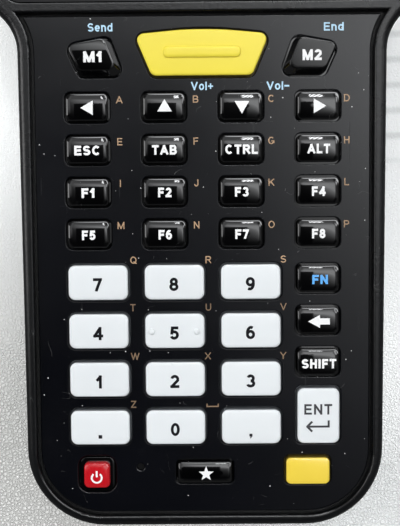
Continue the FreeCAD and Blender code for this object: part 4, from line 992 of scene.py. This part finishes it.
# %% Circuit boards
def circuit_board(name, low, high, shields_below=0.0):
    """Green board between two heights; parts outside them are steel, or black beyond shields_below in y."""
    material, tree, shader, place = new_material(name)
    y, z = axes_of(tree, place)[1:]
    above = math_node(tree, "GREATER_THAN", z, low * MM)
    board = product(tree, above, math_node(tree, "LESS_THAN", z, high * MM))
    routes = texture(tree, "Voronoi", place, {"Scale": 170.0}, distance="MANHATTAN")
    spots = texture(tree, "Voronoi", place, {"Scale": 430.0}, distance="CHEBYCHEV")
    rings = math_node(tree, "FRACT", product(tree, routes.outputs["Distance"], 7.0))
    tracks = math_node(tree, "GREATER_THAN", rings, 0.62)
    pads = product(tree, math_node(tree, "LESS_THAN", spots.outputs["Distance"], 0.13), board)
    green = blend_colours(tree, tracks, (0.006, 0.045, 0.022, 1.0), (0.012, 0.085, 0.04, 1.0))
    steel = math_node(tree, "LESS_THAN", y, shields_below * MM)
    part = blend_colours(tree, steel, (0.012, 0.012, 0.013, 1.0), (0.6, 0.6, 0.62, 1.0))
    tint = blend_colours(tree, board, part, blend_colours(tree, pads, green, (0.8, 0.58, 0.25, 1.0)))
    bare = product(tree, steel, flipped(tree, board))
    join(tree, (tint, shader.inputs["Base Color"]))
    join(tree, (math_node(tree, "MAXIMUM", bare, pads), shader.inputs["Metallic"]))
    join(tree, (ramp(tree, rings, 0.0, 1.0, 0.28, 0.42), shader.inputs["Roughness"]))
    raise_skin(tree, shader, tracks, 0.3, 0.00003)
    return material


finish["main_board"] = circuit_board("board_main", 18.95, 20.25, 66.2)
finish["keypad_board"] = circuit_board("board_keypad", 21.5, 22.7)
print("boards ready")

# %% [markdown]
# The camera's window and the flash window are one piece in the CAD model. Rings about the lens's axis
# and about the flash's axis tell their parts apart.


# %% Camera and flash windows
def from_axis(tree, place, x, y):
    """Distance in millimetres from an upright axis at x, y."""
    moved = add_node(tree, "ShaderNodeVectorMath", operation="SUBTRACT")
    moved.inputs[1].default_value = (x * MM, y * MM, 0.0)
    flat = add_node(tree, "ShaderNodeVectorMath", operation="MULTIPLY")
    flat.inputs[1].default_value = (1.0 / MM, 1.0 / MM, 0.0)
    length = add_node(tree, "ShaderNodeVectorMath", operation="LENGTH")
    join(tree, (place, moved.inputs[0]), (moved.outputs[0], flat.inputs[0]))
    join(tree, (flat.outputs[0], length.inputs[0]))
    return length.outputs["Value"]


def lens_window(name, camera_place, flash_place):
    """Camera window with a printed border and the lens behind it in a painted violet sheen, and a flash
    window with painted shading on its ribs.
    """
    material, tree, shader, place = new_material(name)
    out_from_lens = from_axis(tree, place, *camera_place)
    border = ramp(tree, out_from_lens, 4.7, 4.8)
    pupil = ramp(tree, out_from_lens, 1.5, 1.7)
    barrel = band(tree, out_from_lens, 3.0, 3.1, 3.5, 3.6)
    # Painted sheen: the lens is tinted dark violet, for the reflection of its coating.
    lens_sheen = blend_colours(tree, pupil, (0.003, 0.002, 0.02, 1.0), (0.008, 0.006, 0.03, 1.0))
    inside = blend_colours(tree, barrel, lens_sheen, (0.08, 0.08, 0.085, 1.0))
    lens = blend_colours(tree, border, inside, BLACK_PRINT_AND_HOLE_SHADE)
    out_from_flash = from_axis(tree, place, *flash_place)
    # Painted shading: each rib of the flash window is graded from pale to dark.
    rib_shading = math_node(tree, "FRACT", product(tree, out_from_flash, 2.4))
    lamp = blend_colours(tree, rib_shading, (0.75, 0.7, 0.5, 1.0), (0.45, 0.42, 0.3, 1.0))
    flash = math_node(tree, "LESS_THAN", out_from_flash, 2.5)
    join(tree, (blend_colours(tree, flash, lens, lamp), shader.inputs["Base Color"]))
    marks = use_group(tree, handling, Amount=0.06)
    join(tree, (total(tree, marks.outputs["Rougher"], 0.06), shader.inputs["Roughness"]))
    return material


CAMERA_PLACE = (0.0, 72.0)
FLASH_PLACE = (14.0, 72.0)
finish["lens"] = lens_window("camera_glass", CAMERA_PLACE, FLASH_PLACE)
print("camera window ready")

# %% [markdown]
# The screen is off. Its glass shows a black printed border, and inside that the faint grid of the
# picture area.


# %% Screen glass
def screen_glass(name, half_x, low_y, high_y, sensor_place):
    """Touch glass: a black printed border, a slightly paler picture area and a light sensor."""
    material, tree, shader, place = new_material(name)
    x, y = axes_of(tree, place)[:2]
    in_x = ramp(tree, math_node(tree, "ABSOLUTE", x), half_x * MM, (half_x + 0.1) * MM, 1.0, 0.0)
    in_y = band(tree, y, (low_y - 0.1) * MM, low_y * MM, high_y * MM, (high_y + 0.1) * MM)
    picture = product(tree, in_x, in_y)
    dots = texture(tree, "Voronoi", place, {"Scale": 9000.0, "Randomness": 0.0})
    lit, unlit = (0.007, 0.0075, 0.0095, 1.0), (0.004, 0.0045, 0.006, 1.0)
    pixels = blend_colours(tree, dots.outputs["Distance"], lit, unlit)
    tint = blend_colours(tree, picture, (0.0012, 0.0012, 0.0016, 1.0), pixels)
    sensor = ramp(tree, from_axis(tree, place, *sensor_place), 0.9, 1.0, 1.0, 0.0)
    tint = blend_colours(tree, sensor, tint, (0.02, 0.012, 0.03, 1.0))
    fallen = use_group(tree, dust, Share=0.3, Speck=0.04)
    tint = blend_colours(tree, fallen.outputs["Mask"], tint, (0.4, 0.4, 0.4, 1.0))
    join(tree, (tint, shader.inputs["Base Color"]))
    marks = use_group(tree, handling, Patch=11.0, Amount=0.12)
    rough = total(tree, marks.outputs["Rougher"], product(tree, marks.outputs["Scratch"], 0.1), 0.06)
    join(tree, (math_node(tree, "MAXIMUM", rough, 0.03), shader.inputs["Roughness"]))
    return material


EARPIECE_Y = 92.65
finish["glass"] = screen_glass("touch_screen", 30.6, -4.8, 90.9, (-10.5, EARPIECE_Y))
print("screen glass ready")


# %% Wire mesh
def wire_mesh(name, pitch):
    """Woven wire: round holes on a square grid, painted black for the shade inside them, and steel between.
    """
    material, tree, shader, place = new_material(name)
    holes = texture(tree, "Voronoi", place, {"Scale": 1.0 / (pitch * MM), "Randomness": 0.0})
    wire = ramp(tree, holes.outputs["Distance"], 0.34, 0.42)
    # Painted shade: the holes are plain black, for the dark space behind the wire.
    tint = blend_colours(tree, wire, BLACK_PRINT_AND_HOLE_SHADE, (0.2, 0.2, 0.21, 1.0))
    rough = ramp(tree, wire, 0.0, 1.0, 0.8, 0.35)
    join(tree, (tint, shader.inputs["Base Color"]), (wire, shader.inputs["Metallic"]))
    join(tree, (rough, shader.inputs["Roughness"]))
    raise_skin(tree, shader, wire, 0.6, 0.0001)
    return material


finish["wire"] = wire_mesh("wire_mesh", 0.35)
print("finishes:", len(finish))

# %% [markdown]
# ## Finishes on the CAD pieces
# The rest of the CAD nodes have the right shape, so each only swaps its plain colour for a finish. Most
# finishes have the name of the record's slot, and the table lists those that don't.

# %% Finishes by slot
other_names = {
    "housing": "casing", "flap_rubber": "flap", "spring_steel": "steel", "connector": "shell_steel",
    "domes": "dome_steel", "contact": "gold",
}
for name, node in frame["nodes"].items():
    if not node.hide_render:
        slot = slot_of(name)
        chosen = name if name in ("main_board", "keypad_board") else other_names.get(slot, slot)
        node.data.materials[0] = finish[chosen]
print("CAD nodes with a finish:", sum(not n.hide_render for n in frame["nodes"].values()))

# %% [markdown]
# ## Small parts behind the openings
# Three kinds of part close the openings that a hand would find: woven wire behind the earpiece slot and
# behind the speaker's slots, and brass threads in the two strap holes. Each is a plain form, made by
# scaling a cube or by spinning a small profile about the hole's axis.


# %% Wire meshes and brass threads
SPEAKER_PLACE = (-19.0, 72.0)
THREAD_PITCH = 0.5


def wire_plate(name, middle, size):
    """A thin plate of wire mesh on the casing."""
    bm = bmesh.new()
    place = Matrix.Translation(middle) @ Matrix.Diagonal((*size, 1.0))
    bmesh.ops.create_cube(bm, size=1.0, matrix=place)
    place_piece(name, bm, "terminal", [finish["wire"]])


def thread(name, x, y, bore, reach, low, high):
    """A brass sleeve with a few thread crests, spun about its axis."""
    bm = bmesh.new()
    profile = [(reach, low), (bore, low)]
    turns = int((high - low) / THREAD_PITCH)
    for i in range(turns):
        profile += [(bore + 0.12, low + (i + 0.5) * THREAD_PITCH), (bore, low + (i + 1) * THREAD_PITCH)]
    profile.append((reach, low + turns * THREAD_PITCH))
    verts = [bm.verts.new((x + radius, y, z)) for radius, z in profile]
    edges = [bm.edges.new((a, b)) for a, b in zip(verts, verts[1:] + verts[:1])]
    bmesh.ops.spin(bm, geom=verts + edges, cent=(x, y, 0), axis=(0, 0, 1), angle=math.tau, steps=32,
                   use_merge=True)
    bmesh.ops.recalc_face_normals(bm, faces=bm.faces)
    place_piece(name, bm, "terminal", [finish["brass"]])


wire_plate("earpiece_mesh", (0.0, EARPIECE_Y, 27.0), (8.9, 1.1, 0.2))
wire_plate("speaker_mesh", (*SPEAKER_PLACE, 2.15), (11.0, 10.0, 0.2))
for side in (-1, 1):
    thread("strap_thread_left" if side < 0 else "strap_thread_right", side * 11.0, 51.0, 0.95, 1.24, 0.1, 2.6)
print("small parts in place")

# %% [markdown]
# ## Floor and light
# The terminal lies on a pale desk with a leather-like skin: small pebbles with creases between them,
# sharp at the lower left, where the camera is in focus, and faint elsewhere. An image of leather would
# be quicker, but it would fix the size of the pebbles. Here the creases are where a point is near the
# edge of its Voronoi cell.

# %% Desk skin
desk, tree, shader, place = new_material("desk_skin")
desk_x, desk_y = axes_of(tree, place)[:2]
cells = texture(tree, "Voronoi", place, {"Scale": 1350.0}, feature="DISTANCE_TO_EDGE")
pebbles = ramp(tree, cells.outputs["Distance"], 0.0, 0.32)
leftward = ramp(tree, desk_x, -0.03, 0.03, 1.0, 0.0)
in_focus = total(tree, product(tree, leftward, 0.35), 0.65)
sharp = product(tree, ramp(tree, desk_y, -0.105, -0.06, 1.0, 0.12), in_focus)
raise_skin(tree, shader, product(tree, pebbles, sharp), 1.0, 0.0003)
shader.inputs["Roughness"].default_value = 0.55
print("desk skin ready")

# %% [markdown]
# The desk is greyer at the lower left, and a few fine darker lines, a painted shadow of a blind, cross
# it at the upper right. The colours are plain ramps of x and y round the terminal.

# %% Desk tones
grey_y = ramp(tree, desk_y, -0.085, -0.025, 1.0, 0.0)
greyer = product(tree, grey_y, ramp(tree, desk_x, -0.03, 0.03, 1.0, 0.15))
pebble_tone = blend_colours(tree, greyer, (0.93, 0.945, 0.94, 1.0), (0.62, 0.62, 0.605, 1.0))
# Painted shade: the creases between the pebbles are coloured darker, for the shade that falls in them.
crease_shade_tone = blend_colours(tree, greyer, (0.82, 0.83, 0.825, 1.0), (0.44, 0.44, 0.425, 1.0))
creases = product(tree, flipped(tree, pebbles), sharp)
tone = blend_colours(tree, creases, pebble_tone, crease_shade_tone)
# Painted shadow: thin darker stripes for the shadow of a blind's slats at the upper right.
BLIND_SHADOWS_PER_METRE = 190.0
phase = math_node(tree, "FRACT", product(tree, desk_y, BLIND_SHADOWS_PER_METRE))
blind_shadow_y = band(tree, desk_y, -0.042, -0.034, 0.0, 0.02)
blind_shadow_x = band(tree, desk_x, 0.03, 0.035, 0.06, 0.08)
lines = product(tree, band(tree, phase, 0.5, 0.75, 0.8, 1.0), blind_shadow_y, blind_shadow_x, 0.4)
tone = blend_colours(tree, lines, tone, (0.4, 0.41, 0.41, 1.0))
print("desk tones ready")

# %% [markdown]
# The picture's background is nearly white. More light would bleach the white keys too, so the camera
# alone sees the desk a little brighter than it is, through Is Camera Ray. The glossy pieces mirror a
# darker desk.

# %% Desk brightness
ray = add_node(tree, "ShaderNodeLightPath")
dimmed = product(tree, ray.outputs["Is Glossy Ray"], 0.85)
join(tree, (blend_colours(tree, dimmed, tone, (0.02, 0.02, 0.02, 1.0)), shader.inputs["Base Color"]))
join(tree, (tone, shader.inputs["Emission Color"]))
lower_left = ramp(tree, desk_y, -0.11, -0.06, 0.36, 0.11)
upper_left = ramp(tree, desk_y, -0.06, -0.025, 0.0, 0.16)
glow_left = product(tree, total(tree, lower_left, upper_left), leftward)
lower_right = ramp(tree, desk_y, -0.11, -0.09, 0.4, 1.0)
upper_right = ramp(tree, desk_y, -0.08, -0.05, 0.27, 0.13)
glow_right = product(tree, upper_right, lower_right, flipped(tree, leftward))
lift = product(tree, ray.outputs["Is Camera Ray"], total(tree, glow_left, glow_right))
join(tree, (lift, shader.inputs["Emission Strength"]))
print("desk brightness ready")

# %% [markdown]
# The back of the terminal has a battery, a camera and a speaker, and a closed desk would hide them. So
# the desk is clear from below, and light passes up through it where the terminal lies on it: within a
# box inside the terminal's outline, and for rays that start right above it.

# %% A desk that is clear from below
UNDER_X = 0.027
UNDER_Y = 0.092
NEARLY_TOUCHING = 0.0015
surface = add_node(tree, "ShaderNodeNewGeometry")
in_x = math_node(tree, "LESS_THAN", math_node(tree, "ABSOLUTE", desk_x), UNDER_X)
in_y = math_node(tree, "LESS_THAN", math_node(tree, "ABSOLUTE", desk_y), UNDER_Y)
near = math_node(tree, "LESS_THAN", ray.outputs["Ray Length"], NEARLY_TOUCHING)
see_through = math_node(tree, "MAXIMUM", product(tree, in_x, in_y), near)
see_through = math_node(tree, "MAXIMUM", see_through, surface.outputs["Backfacing"])
clear = add_node(tree, "ShaderNodeBsdfTransparent")
either = add_node(tree, "ShaderNodeMixShader")
join(tree, (see_through, either.inputs[0]), (shader.outputs["BSDF"], either.inputs[1]))
join(tree, (clear.outputs["BSDF"], either.inputs[2]))
join(tree, (either.outputs["Shader"], tree.nodes["Material Output"].inputs["Surface"]))
print("desk is clear from below")

# %% [markdown]
# The floor lies a hair below the terminal's back. At the same height the two would flicker into each
# other, because a ray couldn't tell which one it meets first.

# %% Floor
FLOOR_DROP = 0.0004
floor_mesh = bmesh.new()
floor_place = Matrix.Translation((0, 0, -FLOOR_DROP))
bmesh.ops.create_grid(floor_mesh, x_segments=1, y_segments=1, size=4.0, matrix=floor_place)
floor_data = bpy.data.meshes.new("desk")
floor_mesh.to_mesh(floor_data)
floor_data.materials.append(desk)
floor = bpy.data.objects.new("desk", floor_data)
scene.collection.objects.link(floor)
print("floor size 8 m")

# %% [markdown]
# One large lamp would give hard shadows, so most of the light comes from a painted sky. A point of it is
# named by where a ray crosses a ceiling: flat_x and flat_y are x and y over z. A flat face at one place
# mirrors one small part of that ceiling, so the sky can be painted where each glossy piece looks.

# %% Sky directions
world = bpy.data.worlds.new("studio")
scene.world = world
world.use_nodes = True
tree = world.node_tree
tree.nodes.clear()
where = add_node(tree, "ShaderNodeTexCoord")
x, y, z = axes_of(tree, where.outputs["Generated"])
steepness = math_node(tree, "MAXIMUM", z, 0.05)
flat_x = math_node(tree, "DIVIDE", x, steepness)
flat_y = math_node(tree, "DIVIDE", y, steepness)


def box_mask(low_x, high_x, low_y, high_y, soft):
    """1 inside a rectangle of the overhead view, 0 outside it."""
    in_x = band(tree, flat_x, low_x, low_x + soft, high_x - soft, high_x)
    in_y = band(tree, flat_y, low_y, low_y + soft, high_y - soft, high_y)
    return product(tree, in_x, in_y)


print("sky directions ready")

# %% [markdown]
# Overhead the sky grows brighter towards the head and the right, with a pale wall at the left. A dark
# patch keeps the screen and the panel's middle black.

# %% Overhead gradient
climb = total(tree, product(tree, flat_y, 7.0), product(tree, flat_x, 5.0))
glow = math_node(tree, "MINIMUM", product(tree, math_node(tree, "EXPONENT", climb), 0.62), 3.2)
glow = product(tree, glow, ramp(tree, flat_x, 0.3, 0.45, 1.0, 0.12), ramp(tree, flat_y, 0.2, 0.5, 1.0, 0.25))
left_wall = product(tree, band(tree, flat_x, -0.75, -0.55, -0.4, -0.25), ramp(tree, flat_y, -0.2, 0.15))
glow = math_node(tree, "MAXIMUM", glow, left_wall)
screen_shade = product(tree, box_mask(-0.255, 0.087, -0.9, 0.197, 0.015), 0.95)
glow = product(tree, glow, flipped(tree, screen_shade))
print("overhead gradient ready")

# %% [markdown]
# Bright patches give the gloss its highlights: a window with slats, which each black cap mirrors as a
# row of dashes, a panel at the right and one beyond the head.

# %% Windows and panels
SLATS = 26.0
across_slats = total(tree, flat_x, product(tree, flat_y, -0.3))
slat_phase = math_node(tree, "FRACT", product(tree, across_slats, SLATS))
open_slats = math_node(tree, "GREATER_THAN", slat_phase, 0.4)
window = product(tree, box_mask(0.04, 0.165, 0.45, 0.66, 0.012), open_slats, 24.0)
right_panel = product(tree, box_mask(0.4, 0.8, 0.15, 0.6, 0.1), 5.0)
head_panel = product(tree, box_mask(-0.35, 0.12, 0.9, 1.25, 0.1), 7.0)
overhead = total(tree, glow, window, right_panel, head_panel)
print("windows and panels ready")

# %% [markdown]
# Near the horizon matt faces see a soft pale band. Gloss sees a dark one, with a single low source
# towards the upper right that draws the thin lines on rounded edges. Matt faces also get more light
# overall, so that white keys are white while the gloss stays dark. From below the sky is plain, and the
# camera itself sees a pale backdrop.

# %% Sky for each kind of ray
ray = add_node(tree, "ShaderNodeLightPath")
glossy = ray.outputs["Is Glossy Ray"]
toward = total(tree, product(tree, x, 0.5), product(tree, y, 0.866))
low_source = product(tree, ramp(tree, toward, 0.55, 0.7), band(tree, z, 0.3, 0.4, 0.65, 0.75), 8.0)
horizon = blend_values(tree, glossy, ramp(tree, z, 0.1, 0.35, 0.1, 0.5), total(tree, low_source, 0.12))
from_above = blend_values(tree, ramp(tree, z, 0.6, 0.8), horizon, overhead)
MATT_GAIN = 0.55
gain = math_node(tree, "SUBTRACT", 1.0 + MATT_GAIN, product(tree, glossy, MATT_GAIN))
lit = product(tree, from_above, gain)
BELOW, BACKDROP = 0.9, 0.85
strength = blend_values(tree, ramp(tree, z, -0.3, -0.1, 1.0, 0.0), lit, BELOW)
strength = blend_values(tree, ray.outputs["Is Camera Ray"], strength, BACKDROP)
sky = add_node(tree, "ShaderNodeBackground")
sky.inputs["Color"].default_value = (0.97, 0.985, 1.0, 1.0)
out = add_node(tree, "ShaderNodeOutputWorld")
join(tree, (strength, sky.inputs["Strength"]), (sky.outputs["Background"], out.inputs["Surface"]))
print("sky: pale horizon, graded overhead")


# %% Lamps
def soft_lamp(name, place, aim, size, power):
    """A square area lamp aimed at a point."""
    data = bpy.data.lights.new(name, "AREA")
    data.shape = "RECTANGLE"
    data.size, data.size_y = size
    data.energy = power
    lamp = bpy.data.objects.new(name, data)
    lamp.location = place
    lamp.rotation_euler = (Vector(aim) - Vector(place)).to_track_quat("-Z", "Y").to_euler()
    scene.collection.objects.link(lamp)
    return lamp


soft_lamp("fill", (-0.7, 0.1, 0.5), (0, 0, 0), (0.5, 0.5), 2.6)
